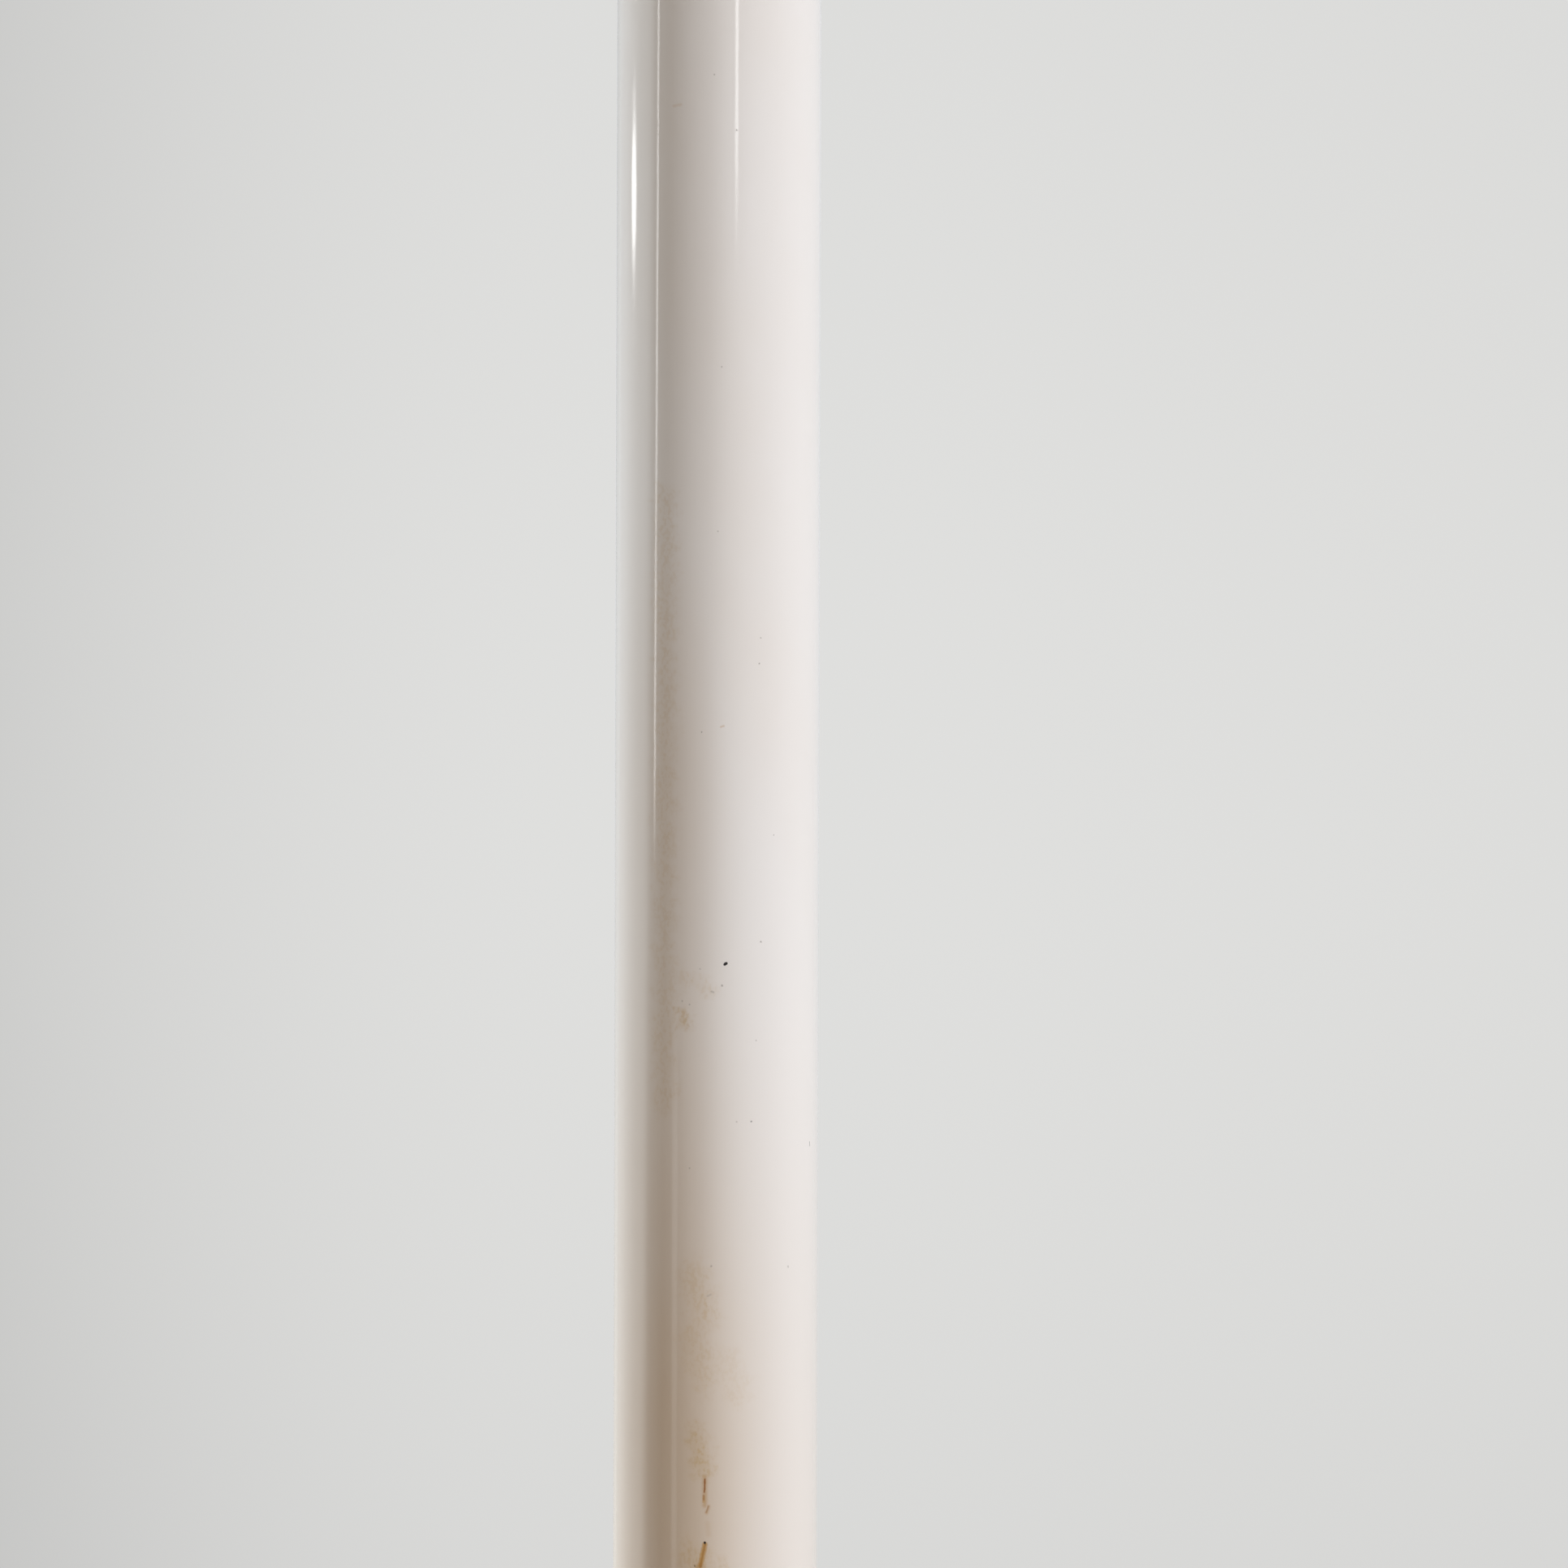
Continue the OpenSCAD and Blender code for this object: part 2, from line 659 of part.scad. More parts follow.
// Turned collar: a skirt over the neck of the base, held on the stem by a grub screw
module stem_collar() {
    skirt_r = neck_r + 0.15;
    round_r = 1.2;
    top = neck_top + collar_h - collar_skirt_h;
    color("ivory") difference() {
        rotate_extrude() polygon(concat(
            [[collar_bore_r, neck_top], [skirt_r, neck_top], [skirt_r, neck_top - collar_skirt_h]],
            [[collar_r - 0.5, neck_top - collar_skirt_h], [collar_r, neck_top - collar_skirt_h + 0.5]],
            arc(collar_r - round_r, top - round_r, round_r, 0, 90),
            [[collar_bore_r, top]]));
        translate([0, 0, collar_screw_z]) rotate([-90, 0, 0])
            cylinder(d = collar_screw_d + 2 * fit, h = collar_r + cut);
    }
}

module collar_screw() {
    length = collar_r - stem_r - 0.7;
    color("silver") translate([0, stem_r + 0.1, collar_screw_z]) rotate([-90, 0, 0]) difference() {
        cylinder(d = collar_screw_d, h = length);
        translate([-collar_screw_d, -0.3, length - 0.8]) cube([2 * collar_screw_d, 0.6, 1]);
    }
}

// Hub with three bent arms that climb to the lip of the shade
module shade_carrier() {
    bend_w = arm_bend_r * sin(arm_bend);
    bend_h = arm_bend_r * (1 - cos(arm_bend));
    slope_l = (arm_rise - 2 * bend_h) / sin(arm_bend);
    middle = (hub_r + bush_inner) / 2;
    first_bend = middle - bend_w - slope_l * cos(arm_bend) / 2;
    arm_start = (pipe_r + hub_r) / 2;
    color("silver") difference() {
        union() {
            translate([0, 0, hub_bottom]) cylinder(r = hub_r, h = hub_h);
            three_round() translate([arm_start, 0, hub_mid_z]) rotate([90, 0, 0]) bent_rod(arm_d, [
                [first_bend - arm_start, arm_bend_r, arm_bend],
                [slope_l, arm_bend_r, -arm_bend],
                [arm_end - first_bend - 2 * bend_w - slope_l * cos(arm_bend), 0, 0]]);
        }
        translate([0, 0, hub_bottom - cut]) cylinder(r = pipe_r + fit, h = hub_h + 2 * cut);
    }
}

// Rubber bushes on the arms' tips: the lip rests on them, inside their flanges
module carrier_bushes() {
    bush_end = lip_out_r;
    color("dimgray") three_round() translate([bush_inner, 0, arm_tip_z]) rotate([0, 90, 0]) difference() {
        union() {
            cylinder(r = bush_r, h = bush_end - bush_inner);
            cylinder(r = bush_flange_r, h = bush_flange_h);
        }
        translate([0, 0, -cut]) cylinder(r = arm_d / 2 + fit, h = arm_end - bush_inner + cut + fit);
    }
}

module carrier_nut() {
    color("silver") translate([0, 0, hub_top]) pipe_nut(thin_nut_h);
}

// Moulded cup of the lampholder, seated on the carrier's nut and clamped by its own
module holder_cup() {
    foot_r = pipe_r + 6;
    color("black") translate([0, 0, cup_z]) rotate_extrude() polygon([
        [pipe_r + fit, 0], [foot_r, 0], [foot_r + 1, 2.5], [holder_r - 1, ledge_h - 1],
        [holder_r, ledge_h + 1], [holder_r, cup_h], [holder_bore_r, cup_h],
        [holder_bore_r, ledge_h], [holder_bore_r - 3, ledge_h], [foot_r, cup_floor],
        [pipe_r + fit, cup_floor]]);
}

module holder_nut() {
    color("silver") translate([0, 0, cup_z + cup_floor]) pipe_nut(thin_nut_h);
}

// Porcelain insert on the cup's ledge, bored for the lead's two cores
module holder_insert() {
    core_hole_r = 1.5;
    color("white") translate([0, 0, cup_z + ledge_h]) difference() {
        cylinder(r = holder_bore_r - fit, h = insert_h);
        for (x = [-9, 9]) translate([x, 0, -cut]) cylinder(r = core_hole_r, h = insert_h + 2 * cut);
    }
}

module holder_screw_shell() {
    color("goldenrod") translate([0, 0, insert_top])
        ring(socket_r + socket_wall, socket_r, socket_top - insert_top);
}

// Sprung centre contact: a foot on the insert and a tongue under the bulb
module holder_tongue() {
    t = 0.5;
    w = 6;
    color("goldenrod") translate([0, w / 2, insert_top]) rotate([90, 0, 0]) linear_extrude(height = w)
        polygon([[-8, 0], [-1, 0], [-1, t], [-4, t], [4, tongue_h - t], [6, tongue_h - t],
            [6, tongue_h], [3.6, tongue_h], [-5, t], [-8, t]]);
}

module holder_sleeve() {
    lip_r = socket_r + socket_wall + 0.6;
    color("black") translate([0, 0, sleeve_z]) rotate_extrude() polygon([
        [holder_bore_r, 0], [holder_r, 0], [holder_r, 9], [holder_r - 1.5, 10.5],
        [holder_r - 1.5, sleeve_h - 1], [holder_r - 2.5, sleeve_h], [lip_r, sleeve_h],
        [lip_r, sleeve_h - 1.8], [holder_bore_r - 1.5, sleeve_h - 1.8], [holder_bore_r - 1.5, 10],
        [holder_bore_r, 9]]);
}

module bulb_solder_contact() {
    color("silver") translate([0, 0, bulb_z]) cylinder(r = 4.6, h = solder_h);
}

module bulb_insulator() {
    color("black") translate([0, 0, bulb_z + solder_h]) cylinder(r1 = 5.2, r2 = 10, h = insulator_h);
}

// Metal cap, drawn in at the foot to hold the insulator
module bulb_cap() {
    color("silver") translate([0, 0, cap_z]) rotate_extrude() polygon([
        [0, 0], [10.4, 0], [cap_r, 2.4], [cap_r, cap_h], [cap_r - cap_wall, cap_h],
        [cap_r - cap_wall, 2.6], [10.2, cap_wall], [0, cap_wall]]);
}

// Section of the envelope, moved in by some distance: neck, concave flare and globe
module glass_section(inset, foot_z) {
    span = bulb_r + flare_r;
    flare_x = bulb_neck_r + flare_r;
    rise = sqrt(pow(span, 2) - pow(flare_x, 2));
    flare_z = bulb_centre_z - rise;
    meet = atan2(rise, flare_x);
    polygon(concat(
        [[0, foot_z], [bulb_neck_r - inset, foot_z]],
        arc(flare_x, flare_z, flare_r + inset, 180, 180 - meet),
        arc(0, bulb_centre_z, bulb_r - inset, -meet, 90)));
}

module bulb_glass() {
    color("white") rotate_extrude() difference() {
        glass_section(0, glass_foot);
        glass_section(glass_wall, glass_foot - cut);
    }
}

// Opal dome: a full crown, an edge that curls in, and a flat lip with a round edge
module shade() {
    t = shade_wall;
    lip_edge = arc(opening_r + t / 2, t / 2, t / 2, 90, 270);
    outside = concat(
        moved(reversed(quarter_curl(curl_w, curl_h)), [lip_out_r, curl_h]),
        moved(quarter_dome(shade_r, dome_h), [0, curl_h]));
    inside = concat(
        moved(reversed(quarter_dome(shade_r - t, dome_h - t)), [0, curl_h]),
        moved(quarter_curl(curl_w - t, curl_h - t), [lip_out_r, curl_h]));
    color("white") translate([0, 0, rim_z]) rotate_extrude() polygon(concat(lip_edge, outside, inside));
}

rubber_feet();
base_plate();
plate_screws();
ballast();
base_cover();
cord_grommet();
terminal_block();
block_screws();
terminal_screws();
earth_lead();
earth_tag();
earth_screw();
switch_body();
switch_contact();
switch_spring();
switch_button();
switch_ring_nut();
switch_lead();
stem_lead();
base_washer();
base_nut();
threaded_pipe();
stem_foot_plug();
stem_tube();
stem_collar();
collar_screw();
stem_top_plug();
shade_carrier();
carrier_bushes();
carrier_nut();
holder_cup();
holder_nut();
holder_insert();
holder_screw_shell();
holder_tongue();
holder_sleeve();
bulb_solder_contact();
bulb_insulator();
bulb_cap();
bulb_glass();
shade();
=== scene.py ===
# %% [markdown]
# # A mushroom floor lamp: cream enamel, opal acrylic and nickel
# The lamp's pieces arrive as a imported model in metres, with the origin on the floor under
# the stem and +Z up. This script gives them the look of the real lamp. Where a plain solid
# is enough it keeps the solid and only paints it. Where the eye would want more, such as a
# thread, a knurl or a soft edge, it makes a finer piece in the same place and lets it stand
# for the solid.

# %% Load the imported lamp
import json
import math

import bmesh
import bpy
from mathutils import Matrix, Vector


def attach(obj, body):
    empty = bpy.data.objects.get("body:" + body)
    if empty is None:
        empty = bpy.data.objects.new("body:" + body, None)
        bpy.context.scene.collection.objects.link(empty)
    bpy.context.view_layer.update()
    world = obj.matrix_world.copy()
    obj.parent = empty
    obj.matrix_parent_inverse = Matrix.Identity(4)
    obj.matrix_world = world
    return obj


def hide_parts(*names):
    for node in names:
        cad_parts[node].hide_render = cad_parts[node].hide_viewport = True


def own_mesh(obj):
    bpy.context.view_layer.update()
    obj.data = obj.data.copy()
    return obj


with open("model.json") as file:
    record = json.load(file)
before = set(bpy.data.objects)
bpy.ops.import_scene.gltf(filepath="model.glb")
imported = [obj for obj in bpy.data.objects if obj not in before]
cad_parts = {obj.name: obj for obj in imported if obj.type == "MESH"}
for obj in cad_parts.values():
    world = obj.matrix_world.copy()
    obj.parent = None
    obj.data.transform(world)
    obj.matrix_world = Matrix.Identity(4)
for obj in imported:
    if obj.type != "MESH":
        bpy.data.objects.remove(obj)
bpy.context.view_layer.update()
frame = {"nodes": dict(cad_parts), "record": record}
MM = 0.001

# %% [markdown]
# ## The camera
# A long lens from about a metre away, level with the lower third of the stem, sees a short
# stretch of the tube and nothing else. The distance follows from the lens: a 150 mm lens on
# a 36 mm sensor covers 0.24 m at one metre. The tube leans a hair, so the camera rolls.

# %% Camera
LENS, SENSOR = 150.0, 36.0
VIEW_WIDTH = 0.2460             # how much of the stem the picture spans, in metres
VIEW_HEIGHT = 0.380             # height of the middle of the picture above the floor
ASIDE = 0.0105                  # the stem stands this far left of the middle
ROLL = math.radians(-0.165)

camera_data = bpy.data.cameras.new("camera")
camera_data.lens, camera_data.sensor_width = LENS, SENSOR
camera = bpy.data.objects.new("camera", camera_data)
camera.location = (ASIDE, -VIEW_WIDTH * LENS / SENSOR, VIEW_HEIGHT)
camera.rotation_euler = (math.pi / 2, ROLL, 0.0)
bpy.context.scene.collection.objects.link(camera)
bpy.context.scene.camera = camera
bpy.context.scene.view_settings.view_transform = "Standard"
print("camera", [round(c, 4) for c in camera.location])

# %% [markdown]
# ## Two helpers for every material
# Hex colours are what a paint chart or a picture gives, and they are coded for screens.
# Blender's sockets want linear light, so one function turns them. A second adds a node with
# its settings and links in one line: a socket gets a number, a colour, another node, which
# stands for its first output, or one of its outputs by name.

# %% Colour and nodes
def linear(hex_colour):
    """An sRGB hex colour as the linear RGBA that Blender's sockets take."""
    coded = [int(hex_colour[i:i + 2], 16) / 255 for i in (1, 3, 5)]
    return (*(c / 12.92 if c <= 0.04045 else ((c + 0.055) / 1.055) ** 2.4 for c in coded), 1.0)


def add_node(tree, kind, settings=None, sockets=None):
    """Adds a node, sets its properties, then fills or links its input sockets."""
    node = tree.nodes.new("ShaderNode" + kind)
    for name, value in (settings or {}).items():
        setattr(node, name, value)
    for key, value in (sockets or {}).items():
        if isinstance(value, bpy.types.Node):
            value = value.outputs[0]
        if isinstance(value, bpy.types.NodeSocket):
            tree.links.new(value, node.inputs[key])
        else:
            node.inputs[key].default_value = value
    return node


SMOOTH = {"interpolation_type": "SMOOTHSTEP"}       # settings that many nodes share
COLOURS = {"data_type": "RGBA"}
print("cream enamel is", [round(c, 3) for c in linear("#F0EBE7")])

# %% [markdown]
# ## The studio
# One big soft lamp stands to the right, a weaker one behind, and the rest of the room fills
# the shadows with a slightly warm light. Gloss needs something to mirror, so mirror rays see
# more of the room: a tall pale screen behind the left of the lamp, a narrow gap of light at
# its edge, a strip lamp to the right, a small far lamp and a faint line low down. The camera
# and clear glass see only a plain wall. All of it is one world shader, which sorts the rays
# by their kind, so that nothing in the studio can get in the way of another view.

# %% Directions in the room
world = bpy.data.worlds.new("studio")
bpy.context.scene.world = world
world.use_nodes = True
studio = world.node_tree
studio.nodes.clear()

direction = add_node(studio, "TexCoord").outputs["Generated"]
parts = add_node(studio, "SeparateXYZ", sockets={0: direction})
backwards = add_node(studio, "Math", {"operation": "MULTIPLY"}, {0: parts.outputs["Y"], 1: -1.0})
azimuth = add_node(studio, "Math", {"operation": "ARCTAN2"}, {0: parts.outputs["X"], 1: backwards})
azimuth = add_node(studio, "Math", {"operation": "DEGREES"}, {0: azimuth})
height = add_node(studio, "Math", {"operation": "ARCSINE"}, {0: parts.outputs["Z"]})
height = add_node(studio, "Math", {"operation": "DEGREES"}, {0: height})
print("a ray's compass angle and height, both in degrees, from", len(studio.nodes), "nodes")

# %% The wall that the camera sees
WALL = 0.738                    # brightness of the wall behind the stem, 1 is white
WALL_TINT = (1.0, 1.0, 0.984)   # a trace of yellow
wall_fall = [                   # (direction's axis, from, to, share lost, power)
    ("X", -0.03, -0.12, 0.165, 1.8),
    ("X", 0.03, 0.12, 0.02, 1.0),
    ("Z", -0.01, -0.12, 0.065, 1.5),
    ("Z", 0.03, 0.12, 0.02, 1.0),
]
wall = WALL
for axis, start, end, lost, power in wall_fall:
    way = add_node(studio, "MapRange", sockets={
        "Value": parts.outputs[axis], "From Min": start, "From Max": end})
    bent = add_node(studio, "Math", {"operation": "POWER"}, {0: way, 1: power})
    wall = add_node(studio, "Math", {"operation": "MULTIPLY_ADD"},
                    {0: bent, 1: -lost * WALL, 2: wall})
wall_colour = add_node(studio, "VectorMath", {"operation": "SCALE"}, {0: WALL_TINT, "Scale": wall})
print("wall at", WALL, "behind the stem")

# %% [markdown]
# ### What the gloss mirrors
# The tube is upright, so a mirror ray keeps its slope and only its compass direction is
# doubled. A streak on the tube therefore tells where its lamp stands: the compass angle is
# twice the angle round the tube. Angles here are in degrees, 0 towards the camera's side and
# positive to the right. The screen's edge leans a little, so its angle shifts with height.

# %% The pale screen
SCREEN = (3.70, 3.92, 4.05)     # brightness at the middle of the screen
SCREEN_LOW = (3.66, 3.70, 3.60) # warmer where it meets the floor
CEILING = (0.75, 0.76, 0.78)    # what hangs over the lamp, past the top of the screen
SCREEN_FOOT = (1.0, -7.0)       # degrees of height over which the screen grows warm
SCREEN_TOP = (10.0, 32.0)       # and over which it gives way to the ceiling
LEAN = 0.57                     # degrees that the screen's edge shifts for each degree up
LEAN_REACH = 12.0               # degrees up and down over which it goes on shifting
screen_stops = [                # (compass angle, share of the screen's brightness)
    (-180, 0.187), (-168, 0.23), (-158, 0.35), (-148, 0.53), (-141, 0.60), (-134, 0.74),
    (-126, 0.86), (-118, 0.94), (-110, 1.0), (-93, 1.0), (-88.5, 0.95), (-84.5, 0.81), (-80.7, 0.56),
    (-78, 0.48), (-75, 0.36), (-71, 0.30), (-65, 0.17), (-59, 0.06), (-12, 0.04), (8, 0.19),
    (30, 0.22), (60, 0.13), (110, 0.187), (180, 0.187),
]
near_level = add_node(studio, "Clamp", sockets={
    "Value": height, "Min": -LEAN_REACH, "Max": LEAN_REACH})
shift = add_node(studio, "Math", {"operation": "MULTIPLY_ADD"},
                 {0: near_level, 1: -LEAN, 2: azimuth})
turn = add_node(studio, "MapRange", sockets={
    "Value": shift, "From Min": -180.0, "From Max": 180.0})
screen = add_node(studio, "ValToRGB", sockets={0: turn})
stops = screen.color_ramp.elements
while len(stops) < len(screen_stops):
    stops.new(1.0)
for stop, (angle, share) in zip(stops, screen_stops):
    stop.position = (angle + 180) / 360
    stop.color = (share, share, share, 1.0)
foot = add_node(studio, "MapRange", sockets={
    "Value": height, "From Min": SCREEN_FOOT[0], "From Max": SCREEN_FOOT[1]})
hue = add_node(studio, "Mix", COLOURS, {
    0: foot, 6: (*SCREEN, 1.0), 7: (*SCREEN_LOW, 1.0)}).outputs[2]
mirrored = add_node(studio, "VectorMath", {"operation": "MULTIPLY"}, {0: screen, 1: hue})
overhead = add_node(studio, "MapRange", SMOOTH, {
    "Value": height, "From Min": SCREEN_TOP[0], "From Max": SCREEN_TOP[1]})
mirrored = add_node(studio, "Mix", COLOURS, {
    0: overhead, 6: mirrored, 7: (*CEILING, 1.0)}).outputs[2]
print("screen with", len(stops), "stops")

# %% The gap of light, the strip lamp and the far lamp
GAP_LEAN = 0.38     # the gap beside the screen leans less than the screen's edge
gap_shift = add_node(studio, "Math", {"operation": "MULTIPLY_ADD"},
                     {0: near_level, 1: -GAP_LEAN, 2: azimuth})
# (compass direction, angle, half width, where it starts, where it ends, brightness): each
# side fades over the half width, and each end between two heights
streaks = [
    (gap_shift, -74.3, 1.2, (-0.5, 0.02), (12.0, 20.0), 5.6),       # the gap of light
    (azimuth, 20.6, 1.7, (5.05, 5.35), (12.0, 20.0), 5.6),          # the strip lamp
    (azimuth, -46.6, 3.2, (-40.0, -30.0), (-3.4, -1.6), 0.90),      # the faint line low down
]
for compass, angle, half, lowest, highest, brightness in streaks:
    aside = add_node(studio, "Math", {"operation": "SUBTRACT"}, {0: compass, 1: angle})
    aside = add_node(studio, "Math", {"operation": "ABSOLUTE"}, {0: aside})
    streak = add_node(studio, "MapRange", SMOOTH, {
        "Value": aside, "From Min": half * 1.5, "From Max": half * 0.5,
        "To Max": brightness})
    for dark, lit in (lowest, reversed(highest)):
        end = add_node(studio, "MapRange", SMOOTH, {
            "Value": height, "From Min": dark, "From Max": lit})
        streak = add_node(studio, "Math", {"operation": "MULTIPLY"}, {0: streak, 1: end})
    mirrored = add_node(studio, "VectorMath", {"operation": "ADD"}, {0: mirrored, 1: streak})

FAR_LAMP = (-111.0, 5.205, 0.0)     # compass angle and height of its middle
FAR_HALF = (6.6, 0.82, 1.0)         # half its width and half its height
FAR_BRIGHTNESS = 11.0
reach = add_node(studio, "CombineXYZ", sockets={"X": azimuth, "Y": height})
for operation, by in (("SUBTRACT", FAR_LAMP), ("DIVIDE", FAR_HALF)):
    reach = add_node(studio, "VectorMath", {"operation": operation}, {0: reach, 1: by})
reach = add_node(studio, "VectorMath", {"operation": "LENGTH"}, {0: reach}).outputs["Value"]
far_lamp = add_node(studio, "MapRange", SMOOTH, {
    "Value": reach, "From Min": 1.0, "From Max": 0.25, "To Max": FAR_BRIGHTNESS})
mirrored = add_node(studio, "VectorMath", {"operation": "ADD"}, {0: mirrored, 1: far_lamp})
print(len(streaks), "streaks and a far lamp at", FAR_LAMP[:2])

# %% Sort the rays
FILL = (0.302, 0.267, 0.226)    # what reaches matt surfaces from all sides
rays = add_node(studio, "LightPath")
soft = add_node(studio, "Mix", COLOURS, {
    0: rays.outputs["Is Glossy Ray"], 6: (*FILL, 1.0), 7: mirrored}).outputs[2]
plain = add_node(studio, "Math", {"operation": "MAXIMUM"}, {
    0: rays.outputs["Is Camera Ray"], 1: rays.outputs["Is Transmission Ray"]})
room = add_node(studio, "Mix", COLOURS,
                {0: plain, 6: soft, 7: wall_colour}).outputs[2]
background = add_node(studio, "Background", sockets={"Color": room})
add_node(studio, "OutputWorld", sockets={"Surface": background})
print("studio has", len(studio.nodes), "nodes")

# %% The soft lamps
AIM = Vector((0, 0, 0.55))      # the middle of the stem


def soft_lamp(name, compass, lift, away, size, power, colour):
    """A square soft lamp that shines on the stem and that neither camera nor gloss sees."""
    data = bpy.data.lights.new(name, "AREA")
    data.shape, data.size, data.energy, data.color = "SQUARE", size, power, colour
    lamp = bpy.data.objects.new(name, data)
    turn, rise = math.radians(compass), math.radians(lift)
    way = Vector((math.sin(turn) * math.cos(rise), -math.cos(turn) * math.cos(rise), math.sin(rise)))
    lamp.location = AIM + way * away
    lamp.rotation_euler = way.to_track_quat("Z", "Y").to_euler()
    lamp.visible_camera = lamp.visible_glossy = False
    bpy.context.scene.collection.objects.link(lamp)
    print(name, "lamp at", [round(c, 2) for c in lamp.location])


soft_lamp("key", 59, 20, 3.0, 1.3, 66.0, (0.89, 0.93, 1.0))
soft_lamp("back", 180, 28, 3.0, 0.8, 42.0, (1.0, 0.98, 0.95))

# %% [markdown]
# ## The floor
# A pale disc carries the lamp and takes its shadow. It fades out before it reaches the
# camera's view, so that the wall behind stays plain. To the camera it also glows a little,
# which lifts it to the wall's brightness without any more light on the lamp. It is solid
# from above only, so that the underside of the base can be looked at.

# %% Floor
FLOOR_R = 1.75                      # metres
FLOOR_FADE, FLOOR_GONE = 0.9, 1.73  # where the fading starts, and where nothing is left
FLOOR_GLOW = 0.12
floor_bm = bmesh.new()
bmesh.ops.create_circle(floor_bm, cap_ends=True, radius=FLOOR_R, segments=96)
floor_mesh = bpy.data.meshes.new("floor")
floor_bm.to_mesh(floor_mesh)
floor_bm.free()
floor = bpy.data.objects.new("floor", floor_mesh)
bpy.context.scene.collection.objects.link(floor)

floor_paint = bpy.data.materials.new("matt_floor_paint")
floor_paint.use_nodes = True
tree = floor_paint.node_tree
tree.nodes.clear()
place = add_node(tree, "TexCoord").outputs["Object"]
away = add_node(tree, "VectorMath", {"operation": "LENGTH"}, {0: place}).outputs["Value"]
solid = add_node(tree, "MapRange", SMOOTH, {
    "Value": away, "From Min": FLOOR_GONE, "From Max": FLOOR_FADE})
seen = add_node(tree, "LightPath").outputs["Is Camera Ray"]
glow = add_node(tree, "Math", {"operation": "MULTIPLY"}, {0: seen, 1: FLOOR_GLOW})
matt = add_node(tree, "BsdfDiffuse", sockets={"Color": linear("#E2E4E6")})
lift = add_node(tree, "Emission", sockets={"Strength": glow})
paint = add_node(tree, "AddShader", sockets={0: matt, 1: lift})
from_above = add_node(tree, "Math", {"operation": "SUBTRACT"}, {
    0: 1.0, 1: add_node(tree, "NewGeometry").outputs["Backfacing"]})
solid = add_node(tree, "Math", {"operation": "MULTIPLY"}, {0: solid, 1: from_above})
clear = add_node(tree, "BsdfTransparent")
faded = add_node(tree, "MixShader", sockets={0: solid, 1: clear, 2: paint})
add_node(tree, "OutputMaterial", sockets={"Surface": faded})
floor_mesh.materials.append(floor_paint)
print("floor radius", FLOOR_R)

# %% [markdown]
# ## How a finish is built
# Every finish has the same ends: it starts from the point on the lamp, in metres, and stops
# in one Principled shader. In between comes a grain. Noise is measured in blobs per metre,
# so a helper turns a real blob size in millimetres into that, and can draw it out along one
# axis for drawn, rolled or brushed metal.

# %% Start, grain and end of a finish
FINISHES = {}
NOISE_SPREAD = (0.32, 0.68)     # most of a noise lies between these


def start_finish(slot, name):
    """A new material for one of the record's slots, and the point that is being shaded."""
    material = bpy.data.materials.new(name)
    material.use_nodes = True
    material.node_tree.nodes.clear()
    FINISHES[slot] = material
    place = add_node(material.node_tree, "TexCoord").outputs["Object"]
    return material.node_tree, place


def grain(tree, place, size_mm, stretch=(1, 1, 1), detail=3.0):
    """Noise from 0 to 1 whose blobs are about size_mm wide, drawn out by stretch."""
    per_metre = tuple(1 / (size_mm * MM * s) for s in stretch)
    scaled = add_node(tree, "Mapping", sockets={"Vector": place, "Scale": per_metre})
    noise = add_node(tree, "TexNoise", sockets={
        "Vector": scaled, "Scale": 1.0, "Detail": detail})
    return noise


def end_finish(tree, sockets, relief=None, depth_mm=0.0):
    """Closes a finish with its Principled shader, roughened by a relief that deep."""
    if relief is not None:
        bump = add_node(tree, "Bump", sockets={"Height": relief, "Distance": depth_mm * MM})
        sockets = {**sockets, "Normal": bump}
    shader = add_node(tree, "BsdfPrincipled", sockets=sockets)
    add_node(tree, "OutputMaterial", sockets={"Surface": shader})


def one_grain_finish(slot, name, shades, grain_mm, roughness, depth_mm, kind,
                     stretch=(1, 1, 1)):
    """A finish that drifts between two shades and two roughnesses with a single grain."""
    tree, place = start_finish(slot, name)
    blobs = grain(tree, place, grain_mm, stretch)
    share = add_node(tree, "MapRange", sockets={
        "Value": blobs, "From Min": NOISE_SPREAD[0], "From Max": NOISE_SPREAD[1]})
    colour = add_node(tree, "Mix", COLOURS, {
        0: share, 6: linear(shades[0]), 7: linear(shades[1])}).outputs[2]
    rough = add_node(tree, "MapRange", sockets={
        "Value": share, "To Min": roughness[0], "To Max": roughness[1]})
    end_finish(tree, {"Base Color": colour, "Roughness": rough, **kind}, blobs, depth_mm)
    print("finish", name, "for", slot)


# %% [markdown]
# ## Cream stove enamel
# The steel tube, base and collar were sprayed with cream enamel and baked. Baked enamel is
# hard and glossy, with an index near 1.5, and its surface has the faint orange peel of a
# sprayed coat, with swells a few millimetres wide. Age has turned it: it is still a cool
# white high on the stem and grows yellow and brown towards the floor, with fine tan
# mottling. The same brown lies thicker on the left side, away from the key lamp, where it is
# partly patina and partly painted shade. Pinholes and chips show dark steel, and where water
# got under the coat a crack weeps rust.
#
# The marks lie on the skin of the tube, so they are placed on its unrolled surface: the
# distance round the tube and the height, both in millimetres. A mark is a round-ended
# stroke that fades at its rim, and a little noise makes the rim ragged.

# %% Unrolled skin and strokes
STEM_R = 16.0


